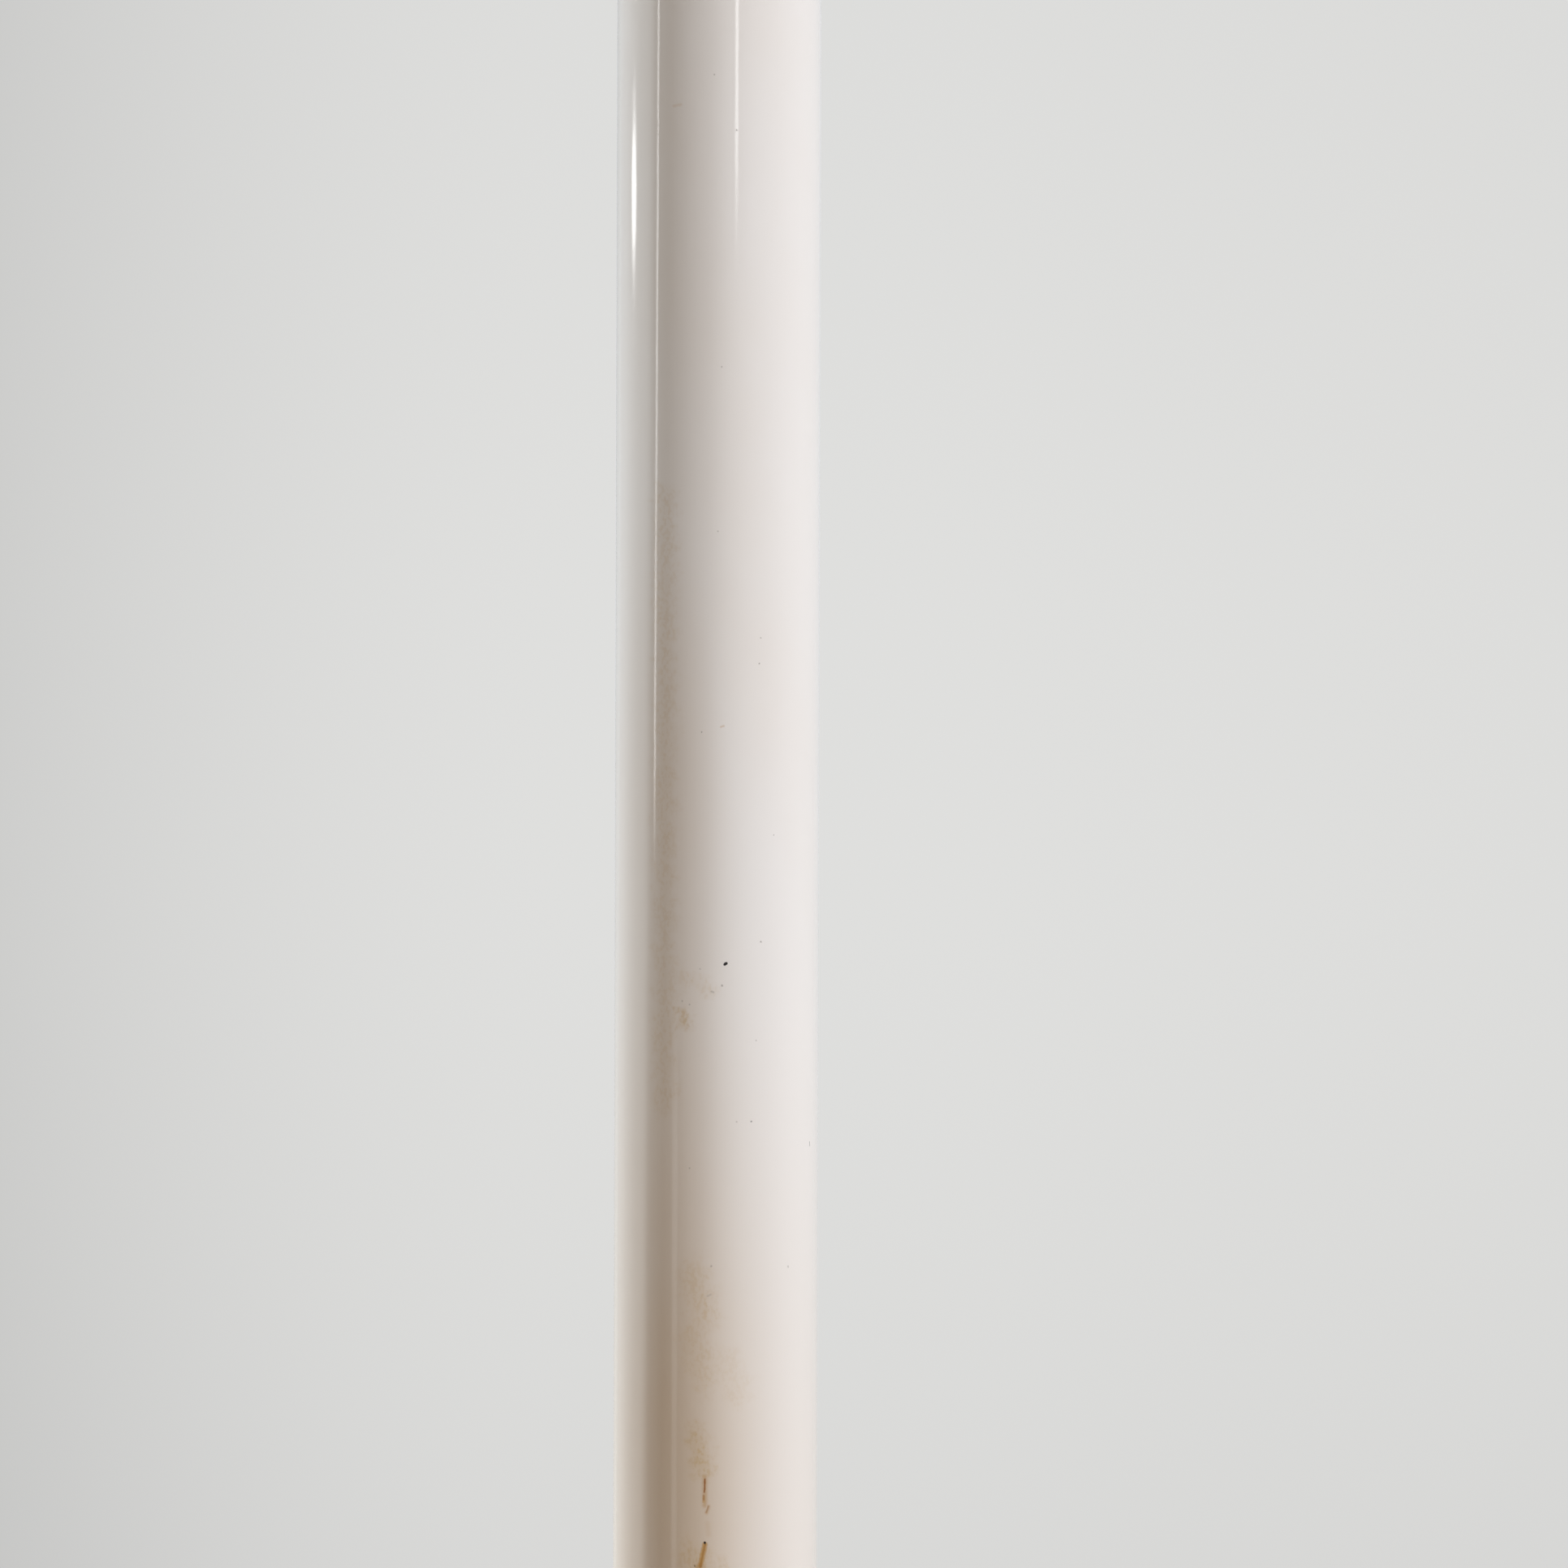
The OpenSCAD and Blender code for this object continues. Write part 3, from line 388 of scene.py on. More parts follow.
def unrolled(tree, place, radius_mm):
    """The point on the unrolled skin: mm round from the front, mm up."""
    split = add_node(tree, "SeparateXYZ", sockets={0: place})
    front = add_node(tree, "Math", {"operation": "MULTIPLY"}, {0: split.outputs["Y"], 1: -1.0})
    angle = add_node(tree, "Math", {"operation": "ARCTAN2"}, {0: split.outputs["X"], 1: front})
    across = add_node(tree, "Math", {"operation": "MULTIPLY"}, {0: angle, 1: radius_mm})
    up = add_node(tree, "Math", {"operation": "MULTIPLY"}, {0: split.outputs["Z"], 1: 1 / MM})
    return across, up


def stroke(tree, skin, start, end, width, soft, strength):
    """How far a mark covers the point: strength inside the stroke, 0 past its soft rim."""
    start, along = Vector((*start, 0)), Vector((end[0] - start[0], end[1] - start[1], 0))
    offset = add_node(tree, "VectorMath", {"operation": "SUBTRACT"}, {0: skin, 1: start})
    share = add_node(tree, "VectorMath", {"operation": "DOT_PRODUCT"},
                     {0: offset, 1: along / max(along.length_squared, 1e-6)}).outputs["Value"]
    share = add_node(tree, "Clamp", sockets={"Value": share})
    nearest = add_node(tree, "VectorMath", {"operation": "SCALE"}, {0: along, "Scale": share})
    gap = add_node(tree, "VectorMath", {"operation": "DISTANCE"},
                   {0: offset, 1: nearest}).outputs["Value"]
    return add_node(tree, "MapRange", SMOOTH, {
        "Value": gap, "From Min": width / 2 + soft, "From Max": max(width / 2 - soft, 0.0),
        "To Max": strength})


print("the tube's skin is", round(2 * math.pi * STEM_R, 2), "mm round")

# %% Marks on the stem
# places are mm round from the front and mm up, and a soft rim is on both sides of the edge
stem_dots = [       # (kind, place, width, soft rim, strength)
    ("steel", (5.71, 327.8), 0.22, 0.10, 0.75),
    ("steel", (2.91, 481.0), 0.20, 0.10, 0.55),
    ("speck", (7.08, 402.6), 0.18, 0.10, 0.55),
    ("speck", (6.83, 398.6), 0.18, 0.10, 0.6),
    ("speck", (-2.26, 388.0), 0.20, 0.10, 0.6),
    ("speck", (9.52, 372.1), 0.16, 0.10, 0.45),
    ("speck", (7.26, 355.6), 0.22, 0.10, 0.7),
    ("speck", (-2.39, 351.4), 0.20, 0.12, 0.3),
    ("speck", (6.48, 340.3), 0.18, 0.10, 0.45),
    ("speck", (-5.23, 346.4), 0.20, 0.12, 0.4),
    ("speck", (-4.04, 345.9), 0.20, 0.12, 0.35),
    ("speck", (3.36, 327.8), 0.20, 0.12, 0.35),
    ("speck", (-3.96, 320.6), 0.20, 0.12, 0.4),
    ("speck", (0.16, 419.0), 0.18, 0.10, 0.5),
    ("speck", (0.70, 444.4), 0.20, 0.10, 0.5),
    ("speck", (-0.57, 489.5), 0.22, 0.12, 0.45),
    ("speck", (-0.53, 305.5), 0.26, 0.14, 0.4),
]
stem_strokes = [    # (kind, start, end, width, soft rim, strength)
    ("steel", (1.45, 352.13), (1.65, 352.27), 0.47, 0.06, 1.0),     # the chip
    ("steel", (18.50, 324.2), (18.60, 323.6), 0.16, 0.08, 0.6),
    ("steel", (-1.41, 262.8), (-1.41, 262.7), 0.34, 0.08, 1.0),     # pinhole over the crack
    ("steel", (-2.97, 259.2), (-2.96, 259.1), 0.20, 0.08, 0.55),
    ("ochre", (0.76, 388.8), (1.18, 388.9), 0.22, 0.14, 0.35),
    ("speck", (1.02, 348.8), (1.02, 348.9), 0.22, 0.12, 0.55),
    ("speck", (-0.61, 347.9), (-0.30, 347.8), 0.22, 0.16, 0.3),
    ("speck", (12.62, 305.2), (12.62, 305.0), 0.20, 0.10, 0.5),
    ("speck", (-1.09, 300.9), (-0.59, 301.1), 0.24, 0.14, 0.2),
    ("ochre", (-7.09, 484.8), (-5.85, 485.0), 0.20, 0.30, 0.18),
    ("ochre", (-1.44, 272.9), (-1.42, 268.6), 0.45, 0.50, 0.46),      # weeping round the crack
    ("ochre", (-0.99, 265.8), (-0.79, 264.0), 0.4, 0.5, 0.12),
    ("ochre", (-1.56, 269.9), (-1.54, 269.1), 0.50, 0.20, 0.7),
    ("ochre", (-1.38, 262.5), (-2.10, 259.2), 0.76, 0.24, 0.85),
    ("ochre", (-2.17, 259.0), (-3.35, 254.3), 0.9, 0.7, 0.6),
    ("rust", (-1.41, 272.6), (-1.48, 270.6), 0.22, 0.12, 1.0),
    ("rust", (-1.56, 270.1), (-1.58, 269.4), 0.20, 0.12, 0.5),
    ("ochre", (-0.83, 268.4), (-1.14, 267.4), 0.50, 0.24, 0.40),
    ("rust", (-0.87, 268.4), (-1.16, 267.5), 0.20, 0.12, 0.50),
    ("rust", (-1.36, 262.5), (-1.98, 259.6), 0.22, 0.16, 0.38),
    ("rust", (-1.97, 259.6), (-2.57, 256.3), 0.40, 0.22, 0.42),
    ("rust", (-2.47, 255.7), (-3.55, 250.2), 0.35, 0.22, 0.65),
    ("tan", (-5.23, 344.5), (-5.03, 342.9), 1.6, 1.3, 0.55),          # patches of fine mottle
    ("tan", (-5.33, 350.4), (-1.58, 348.2), 1.6, 1.8, 0.20),
    ("tan", (-3.35, 303.8), (-1.58, 298.1), 3.2, 2.6, 0.30),
    ("tan", (-1.68, 300.7), (-1.38, 297.7), 1.0, 0.9, 0.45),
    ("tan", (-3.55, 294.7), (-1.78, 288.2), 2.6, 2.4, 0.28),
    ("tan", (1.58, 291.0), (3.55, 286.3), 2.6, 2.4, 0.16),
    ("tan", (-2.70, 279.0), (-1.60, 273.8), 2.0, 1.8, 0.55),
    ("tan", (-2.57, 277.0), (-1.58, 274.0), 0.8, 0.7, 0.45),
    ("tan", (-3.55, 260.6), (1.18, 256.3), 3.0, 2.4, 0.50),
    # the long stroke below runs up the tube's core shadow line: partly mottle, partly painted shade
    ("tan", (-8.49, 424.4), (-8.29, 330.7), 1.2, 2.6, 0.25),
]
stem_marks = [(kind, place, place, *rest) for kind, place, *rest in stem_dots] + stem_strokes
print(len(stem_marks), "marks on the stem")

# %% [markdown]
# ### One coat for three pieces
# The tube, the base and the collar share the coat, and differ only in how far it has aged,
# the painted shade on the left side included. The tube has its own marks. The base and the
# collar, which stand lowest, get a share of aged colour all over, more on the left where it
# is partly painted shade, and rust freckles from a coarse noise that is cut off high, so that
# only its peaks show. Three functions follow: one for the age and the painted shade, one for
# what covers the coat, and one that lays their colours over the clean enamel.

# %% How far the coat has aged, and the shade painted on its left side
LIT_SIDE_AGE, UPPER_LEFT_AGE_AND_SHADE = 0.22, 0.26        # ageing on the lit right side, and ageing with painted shade high on the left
SHADED_SIDE_FADE = (0.85, -0.5)                # radii to the right where ageing with painted shade starts, and where it is full
age_and_shade_levels = {      # (mm up where it starts, mm up where it ends, value before, value after)
    "low": (368.0, 243.0, 0.0, 1.0),            # worst at the height of the crack
    "below the crack": (240.0, 90.0, 1.0, 0.4),
    "high": (440.0, 370.0, 0.0, 1.0),           # it reaches highest up the left side, partly as painted shade
}


def aged_and_shaded(tree, place, up, radius_mm, worst_age_and_shade):
    """How far the enamel has turned, from 0 to its worst and a little over, in patches; on the left
    side it is partly painted shade.
    """
    # the left side, away from the key lamp, gets more of the aged colour: partly patina, partly
    # painted shade
    right = add_node(tree, "SeparateXYZ", sockets={0: place}).outputs["X"]
    shaded_side = add_node(tree, "MapRange", SMOOTH, {
        "Value": right, "From Min": radius_mm * MM * SHADED_SIDE_FADE[0],
        "From Max": radius_mm * MM * SHADED_SIDE_FADE[1]})
    level = {}
    for name, (start, end, before, after) in age_and_shade_levels.items():
        level[name] = add_node(tree, "MapRange", SMOOTH, {
            "Value": up, "From Min": start, "From Max": end,
            "To Min": before, "To Max": after})
    low = add_node(tree, "Math", {"operation": "MULTIPLY"},
                   {0: level["low"], 1: level["below the crack"]})
    lower_age_and_shade = add_node(tree, "MapRange", sockets={
        "Value": shaded_side, "To Min": LIT_SIDE_AGE * worst_age_and_shade, "To Max": worst_age_and_shade})
    upper_age_and_shade = add_node(tree, "Math", {"operation": "POWER"}, {0: shaded_side, 1: 2.5})
    for factor in (level["high"], UPPER_LEFT_AGE_AND_SHADE):
        upper_age_and_shade = add_node(tree, "Math", {"operation": "MULTIPLY"}, {0: upper_age_and_shade, 1: factor})
    age_and_shade = add_node(tree, "Mix", {"data_type": "FLOAT"}, {
        0: low, 2: upper_age_and_shade, 3: lower_age_and_shade})

    # patches a hand wide are up to 15 % more or less aged, and some show where nothing else does
    drift = grain(tree, place, 38.0, (1, 1, 2.2), 4.0)
    patchy = add_node(tree, "MapRange", sockets={
        "Value": drift, "From Min": 0.3, "From Max": 0.7, "To Min": 0.85, "To Max": 1.15})
    age_and_shade = add_node(tree, "Math", {"operation": "MULTIPLY"}, {0: age_and_shade, 1: patchy})
    everywhere = add_node(tree, "MapRange", sockets={
        "Value": drift, "From Min": 0.45, "From Max": 0.75, "To Max": 0.12})
    return add_node(tree, "Math", {"operation": "MAXIMUM"}, {0: age_and_shade, 1: everywhere})


print("the coat ages between", age_and_shade_levels["high"][0], "mm up and the floor")


# %% What covers the coat
STAINS = {"tan": linear("#CFAE78"), "ochre": linear("#C4913F"), "rust": linear("#98591A"),
          "speck": linear("#6B5A4B"), "steel": linear("#1B120E")}     # each over the one before
# how the skin is shifted: (blobs per mm, detail, mm to either side)
SHIFTS = {"torn": (2.2, 2.0, 0.11),     # gives strokes a ragged rim
          "loose": (0.45, 3.0, 3.0)}    # leaves a patch of mottle without an outline


def covers(tree, place, skin, up, marks):
    """How far the marks, the mottle and the freckles cover the point, for each kind of stain."""
    shifted = {}
    for name, (per_mm, detail, reach) in SHIFTS.items():
        noise = add_node(tree, "TexNoise", sockets={
            "Vector": skin, "Scale": per_mm, "Detail": detail}).outputs["Color"]
        noise = add_node(tree, "VectorMath", {"operation": "MULTIPLY_ADD"}, {
            0: noise, 1: (2 * reach, 2 * reach, 0.0), 2: (-reach, -reach, 0.0)})
        shifted[name] = add_node(tree, "VectorMath", {"operation": "ADD"}, {0: skin, 1: noise})
    covered = {kind: 0.0 for kind in STAINS}
    for kind, start, end, width, soft, strength in marks:
        where = shifted["loose" if kind == "tan" else "torn"]
        mark = stroke(tree, where, start, end, width, soft, strength)
        covered[kind] = add_node(tree, "Math", {"operation": "MAXIMUM"},
                                 {0: covered[kind], 1: mark})

    # the mottle breaks its patches into crumbs of half a millimetre in a thin haze
    crumbs = add_node(tree, "MapRange", SMOOTH, {
        "Value": grain(tree, place, 0.55, (1, 1, 1.4), 4.0), "From Min": 0.44, "From Max": 0.62,
        "To Min": 0.40})
    covered["tan"] = add_node(tree, "Math", {"operation": "MULTIPLY"},
                              {0: covered["tan"], 1: crumbs})

    # rust freckles: the peaks of a noise, cut lower, and so larger, towards the floor
    floor_share = add_node(tree, "MapRange", sockets={
        "Value": up, "From Min": 5.0, "From Max": 24.0, "To Min": 0.07, "To Max": 0.0})
    peaks = add_node(tree, "Math", {"operation": "ADD"},
                     {0: grain(tree, place, 2.1, detail=2.0), 1: floor_share})
    freckle = add_node(tree, "MapRange", SMOOTH, {
        "Value": peaks, "From Min": 0.755, "From Max": 0.80, "To Max": 0.85})
    near_floor = add_node(tree, "MapRange", SMOOTH, {
        "Value": up, "From Min": 235.0, "From Max": 60.0})
    freckle = add_node(tree, "Math", {"operation": "MULTIPLY"}, {0: freckle, 1: near_floor})
    covered["rust"] = add_node(tree, "Math", {"operation": "MAXIMUM"},
                               {0: covered["rust"], 1: freckle})
    return covered


print("the coat can carry", len(STAINS), "kinds of stain")


# %% Cream enamel
# the second colour is yellowed enamel; on the left side, away from the key lamp, it is also painted
# shade
CLEAN, AGED_AND_SHADED = linear("#F2EDE9"), linear("#D2B28A")
BASE_R = 145.0


def enamel(slot, name, radius_mm, marks, worst_age_and_shade):
    """Aged cream enamel, with painted shade laid on its left side. The last argument is how far it
    has turned at its worst, from 0 to 1.
    """
    tree, place = start_finish(slot, name)
    across, up = unrolled(tree, place, radius_mm)
    skin = add_node(tree, "CombineXYZ", sockets={"X": across, "Y": up})
    age_and_shade = aged_and_shaded(tree, place, up, radius_mm, worst_age_and_shade)
    covered = covers(tree, place, skin, up, marks)
    colour = CLEAN
    # the first layer is the aged colour, which on the left side is partly painted shade
    for share, over in [(age_and_shade, AGED_AND_SHADED)] + [(covered[kind], STAINS[kind]) for kind in STAINS]:
        colour = add_node(tree, "Mix", COLOURS,
                          {0: share, 6: colour, 7: over}).outputs[2]

    # gloss: stains are duller, and orange peel lifts the coat by a few micrometres
    stained = add_node(tree, "Math", {"operation": "ADD"},
                       {0: covered["ochre"], 1: covered["rust"]})
    stained = add_node(tree, "Math", {"operation": "MULTIPLY_ADD"},
                       {0: covered["tan"], 1: 0.3, 2: stained})
    rough = add_node(tree, "MapRange", sockets={
        "Value": stained, "To Min": 0.06, "To Max": 0.4})
    peel = grain(tree, place, 3.5, (1, 1, 1.8), 2.0)
    sunk = add_node(tree, "Math", {"operation": "MULTIPLY_ADD"},
                    {0: covered["steel"], 1: -5.0, 2: peel})
    end_finish(tree, {"Base Color": colour, "Roughness": rough, "IOR": 1.5}, sunk, 0.007)
    print("finish", name, "with", len(tree.nodes), "nodes")
    return FINISHES[slot]


tube_enamel = enamel("cream_enamel", "stove_enamel_on_tube", STEM_R, stem_marks, 0.69)
base_enamel = enamel("cream_enamel", "stove_enamel_on_base", BASE_R, [], 0.85)

# %% [markdown]
# ## Opal acrylic
# The dome is opal acrylic, a sheet blown into shape while hot. Acrylic has an index of
# 1.49, a hard gloss and no grain. Opal sheet is full of fine white pigment, so light enters
# a few millimetres and comes out again, which softens the shadow line. Handling leaves a
# dull haze in wide swirls, and old sheet yellows a little.

# %% Opal acrylic for the dome
tree, place = start_finish("opal_acrylic", "blown_opal_acrylic")
haze = grain(tree, place, 60.0, (1, 1, 0.6), 4.0)
swirl = grain(tree, place, 7.0, (3, 3, 1), 3.0)
opal = add_node(tree, "Mix", COLOURS, {
    0: haze, 6: linear("#F6F4EF"), 7: linear("#F1EDE4")}).outputs[2]
dull = add_node(tree, "MapRange", sockets={
    "Value": swirl, "From Min": 0.35, "From Max": 0.7, "To Min": 0.10, "To Max": 0.20})
end_finish(tree, {"Base Color": opal, "Roughness": dull, "IOR": 1.49, "Subsurface Weight": 0.8,
                  "Subsurface Radius": (14 * MM, 12 * MM, 10 * MM), "Subsurface Scale": 1.0},
           haze, 0.02)
print("finish blown_opal_acrylic for opal_acrylic")

# %% [markdown]
# ## Metals
# A metal has no colour of its own under the gloss: its base colour is the colour of its
# mirror image, so metallic is 1 and the index keeps its default. What tells metals apart is
# how they were worked. Zinc plate is mottled by its bath, drawn wire and tube are streaked
# along, nickel over brushed brass is satin, and cast iron is pitted by the sand.

# %% Metals with one grain
METAL = {"Metallic": 1.0}
# (slot, finish, two shades, blobs in mm, two roughnesses, relief in mm, kind, drawn out by)
worked_metals = [
    ("zinc_steel", "zinc_plated_steel", ("#B9BDC0", "#989CA0"), 1.8,
     (0.26, 0.42), 0.004, METAL),
    ("spring_steel", "drawn_spring_wire", ("#9A9C9E", "#7C7E80"), 0.4,
     (0.22, 0.34), 0.002, METAL, (1, 1, 6)),
    ("nickel", "satin_nickel_plate", ("#CAC6BE", "#B6B2AA"), 0.5,
     (0.20, 0.30), 0.001, METAL, (6, 6, 1)),
    ("brass", "rolled_brass", ("#D9B873", "#B8924E"), 2.2,
     (0.22, 0.38), 0.002, METAL),
    ("cap_metal", "rolled_aluminium_cap", ("#D3D4D5", "#BFC0C1"), 0.9,
     (0.24, 0.36), 0.002, METAL, (5, 5, 1)),
    ("solder", "soft_solder", ("#A9AAAB", "#85878A"), 0.8,
     (0.35, 0.5), 0.02, METAL),
    ("cast_iron", "painted_sand_casting", ("#2E2F31", "#232426"), 0.9,
     (0.45, 0.65), 0.12, {"IOR": 1.5}),
]
for worked in worked_metals:
    one_grain_finish(*worked)

# %% [markdown]
# ### Turned aluminium
# A lathe tool leaves one fine groove that winds round the piece. Seen from the side that is
# a stack of rings, so the pattern is a wave along the height and the radius together, one
# crest for each 0.4 mm that the tool moved on.

# %% Turned aluminium for the stem plugs
TOOL_FEED = 0.4                 # mm between grooves: coarser than real, so that it shows
tree, place = start_finish("turned_aluminium", "turned_aluminium")
axes = add_node(tree, "SeparateXYZ", sockets={0: place})
flat = add_node(tree, "CombineXYZ", sockets={"X": axes.outputs["X"], "Y": axes.outputs["Y"]})
out = add_node(tree, "VectorMath", {"operation": "LENGTH"}, {0: flat}).outputs["Value"]
path = add_node(tree, "Math", {"operation": "ADD"}, {0: out, 1: axes.outputs["Z"]})
phase = add_node(tree, "Math", {"operation": "MULTIPLY"},
                 {0: path, 1: 2 * math.pi / (TOOL_FEED * MM)})
groove = add_node(tree, "Math", {"operation": "SINE"}, {0: phase})
cloud = grain(tree, place, 5.0)
silvery = add_node(tree, "Mix", COLOURS, {
    0: cloud, 6: linear("#CDCED0"), 7: linear("#B3B5B8")}).outputs[2]
shine = add_node(tree, "MapRange", sockets={
    "Value": cloud, "From Min": 0.3, "From Max": 0.7, "To Min": 0.22, "To Max": 0.36})
end_finish(tree, {"Base Color": silvery, "Roughness": shine, **METAL}, groove, 0.004)
print("finish turned_aluminium")

# %% [markdown]
# ## Moulded, glazed and blown
# Phenolic was pressed hot into steel moulds: almost black, hard and glossy, clouded by its
# filler. Rubber is matt with a fine tooth from the mould. Porcelain and vitreous enamel are
# glassy with pinprick pores, and PVC sleeves are waxy. Indices are those of the real stuff.

# %% Plastics, rubber, porcelain and glass
moulded_and_blown = [           # columns as for the metals
    ("rubber_grey", "moulded_rubber", ("#6A6B6C", "#5A5B5C"), 0.5,
     (0.62, 0.8), 0.03, {"IOR": 1.52}),
    ("black_phenolic", "pressed_phenolic", ("#221C17", "#15110F"), 1.6,
     (0.16, 0.28), 0.004, {"IOR": 1.6}),
    ("ivory_plastic", "moulded_urea", ("#EDE4CF", "#E2D6BC"), 6.0,
     (0.18, 0.30), 0.003, {"IOR": 1.56}),
    ("porcelain", "glazed_porcelain", ("#EFEDE6", "#E4E1D8"), 1.1,
     (0.12, 0.24), 0.008, {"IOR": 1.52}),
    ("white_pvc", "extruded_white_pvc", ("#E5E4DF", "#D8D6CE"), 2.0,
     (0.38, 0.5), 0.01, {"IOR": 1.53}),
    ("green_pvc", "extruded_green_pvc", ("#6C8F2B", "#5C7D22"), 2.0,
     (0.38, 0.5), 0.01, {"IOR": 1.53}),
    ("cap_glass", "black_vitrite", ("#121116", "#0B0A0D"), 1.4,
     (0.08, 0.2), 0.01, {"IOR": 1.6}),
    ("bulb_glass", "opal_coated_glass", ("#F4F3EF", "#ECEAE4"), 14.0,
     (0.16, 0.24), 0.002, {"IOR": 1.5}),
]
for moulded in moulded_and_blown:
    one_grain_finish(*moulded)

# %% [markdown]
# ## Shaping tools
# Most of the lamp was turned, spun or moulded round an axis, so most pieces start from a
# half section and Blender's spin. The rest are outlines pushed through a thickness and rods
# swept along a bent line. Booleans cut holes and corners, as a drill or a saw would. All
# sizes are in millimetres, because that is how a drawing gives them.

# %% Sections, prisms and rods
def arc(x, z, radius, start, end, steps=8):
    """Points on an arc round (x, z), from one angle to another in degrees."""
    angles = [math.radians(start + (end - start) * i / steps) for i in range(steps + 1)]
    return [(x + radius * math.cos(a), z + radius * math.sin(a)) for a in angles]


def turned(section, steps=96):
    """Spins a section of (radius, height) points. It closes on itself, or at the axis."""
    bm = bmesh.new()
    line = [bm.verts.new((r * MM, 0.0, z * MM)) for r, z in section]
    edges = [bm.edges.new(pair) for pair in zip(line, line[1:])]
    if section[0][0] > 0 or section[-1][0] > 0:
        edges.append(bm.edges.new((line[-1], line[0])))
    bmesh.ops.spin(bm, geom=line + edges, cent=(0, 0, 0), axis=(0, 0, 1),
                   angle=2 * math.pi, steps=steps, use_merge=True)
    bmesh.ops.remove_doubles(bm, verts=bm.verts, dist=1e-6)
    bmesh.ops.recalc_face_normals(bm, faces=bm.faces)
    return bm


def prism(outline, bottom, top):
    """Pushes an outline of (x, y) points up from bottom to top."""
    bm = bmesh.new()
    face = bm.faces.new([bm.verts.new((x * MM, y * MM, bottom * MM)) for x, y in outline])
    pushed = bmesh.ops.extrude_face_region(bm, geom=[face])["geom"]
    lifted = [g for g in pushed if isinstance(g, bmesh.types.BMVert)]
    bmesh.ops.translate(bm, verts=lifted, vec=(0, 0, (top - bottom) * MM))
    bmesh.ops.recalc_face_normals(bm, faces=bm.faces)
    return bm


def swept(stations, radius, sides):
    """A round wire through stations, each a middle and the two directions of its circle."""
    bm = bmesh.new()
    around = [2 * math.pi * k / sides for k in range(sides)]
    rings = [[bm.verts.new((middle + radius * (math.cos(t) * side + math.sin(t) * up)) * MM)
              for t in around] for middle, side, up in stations]
    for lower, upper in zip(rings, rings[1:]):
        for k in range(sides):
            j = (k + 1) % sides
            bm.faces.new((lower[k], lower[j], upper[j], upper[k]))
    bm.faces.new(rings[0][::-1])
    bm.faces.new(rings[-1])
    bmesh.ops.recalc_face_normals(bm, faces=bm.faces)
    return bm


def rod(line, radius, sides=24):
    """A round rod along points (distance out, height) in the XZ plane."""
    points = [Vector((x, 0.0, z)) for x, z in line]
    flat = Vector((0, 1, 0))
    stations = []
    for i, point in enumerate(points):
        way = (points[min(i + 1, len(points) - 1)] - points[max(i - 1, 0)]).normalized()
        stations.append((point, way.cross(flat), flat))
    return swept(stations, radius, sides)


def coil(radius, wire_r, turns, low, high, sides=12, steps=24):
    """A coil spring round the axis, from low to high between the middles of its wire."""
    stations = []
    for i in range(turns * steps + 1):
        turn = 2 * math.pi * i / steps
        way = Vector((math.cos(turn), math.sin(turn), 0))
        up = low + (high - low) * i / (turns * steps)
        stations.append((way * radius + Vector((0, 0, up)), way, Vector((0, 0, 1))))
    return swept(stations, wire_r, sides)


print("tools: arc, turned, prism, swept, rod, coil")


# %% Copies and cuts
def copies(bm, places):
    """One bmesh with bm at each of the places, which are 4x4 matrices."""
    pattern = bpy.data.meshes.new("pattern")
    bm.to_mesh(pattern)
    bm.free()
    result = bmesh.new()
    for place in places:
        copy = pattern.copy()
        copy.transform(place)
        result.from_mesh(copy)
        bpy.data.meshes.remove(copy)
    bpy.data.meshes.remove(pattern)
    return result


def moved(bm, x=0.0, y=0.0, z=0.0):
    """bm shifted by millimetres."""
    bmesh.ops.translate(bm, verts=bm.verts, vec=(x * MM, y * MM, z * MM))
    return bm


def tipped(bm, degrees, axis="X"):
    """bm turned round an axis through the origin."""
    by = Matrix.Rotation(math.radians(degrees), 3, axis)
    bmesh.ops.rotate(bm, verts=bm.verts, matrix=by)
    return bm


def places_round(count, first, out_mm=0.0):
    """Matrices for copies round the upright axis, out_mm away from it, the first at an angle."""
    return [Matrix.Rotation(math.radians(first + 360 / count * i), 4, "Z")
            @ Matrix.Translation((out_mm * MM, 0, 0)) for i in range(count)]


def combined(bm, tool, operation="DIFFERENCE"):
    """bm cut by, joined with or kept inside the solid tool, by the exact Boolean."""
    both = []
    for shape in (bm, tool):
        mesh = bpy.data.meshes.new("work")
        shape.to_mesh(mesh)
        shape.free()
        both.append(bpy.data.objects.new("work", mesh))
        bpy.context.scene.collection.objects.link(both[-1])
    cut = both[0].modifiers.new("cut", "BOOLEAN")
    cut.object, cut.operation, cut.solver = both[1], operation, "EXACT"
    result = bmesh.new()
    result.from_object(both[0], bpy.context.evaluated_depsgraph_get())
    for helper in both:
        mesh = helper.data
        bpy.data.objects.remove(helper)
        bpy.data.meshes.remove(mesh)
    return result


print("tools: copies, moved, tipped, places_round, combined")


# %% From a mesh to a piece
SHARP = math.radians(38)        # faces that meet at more than this keep an edge


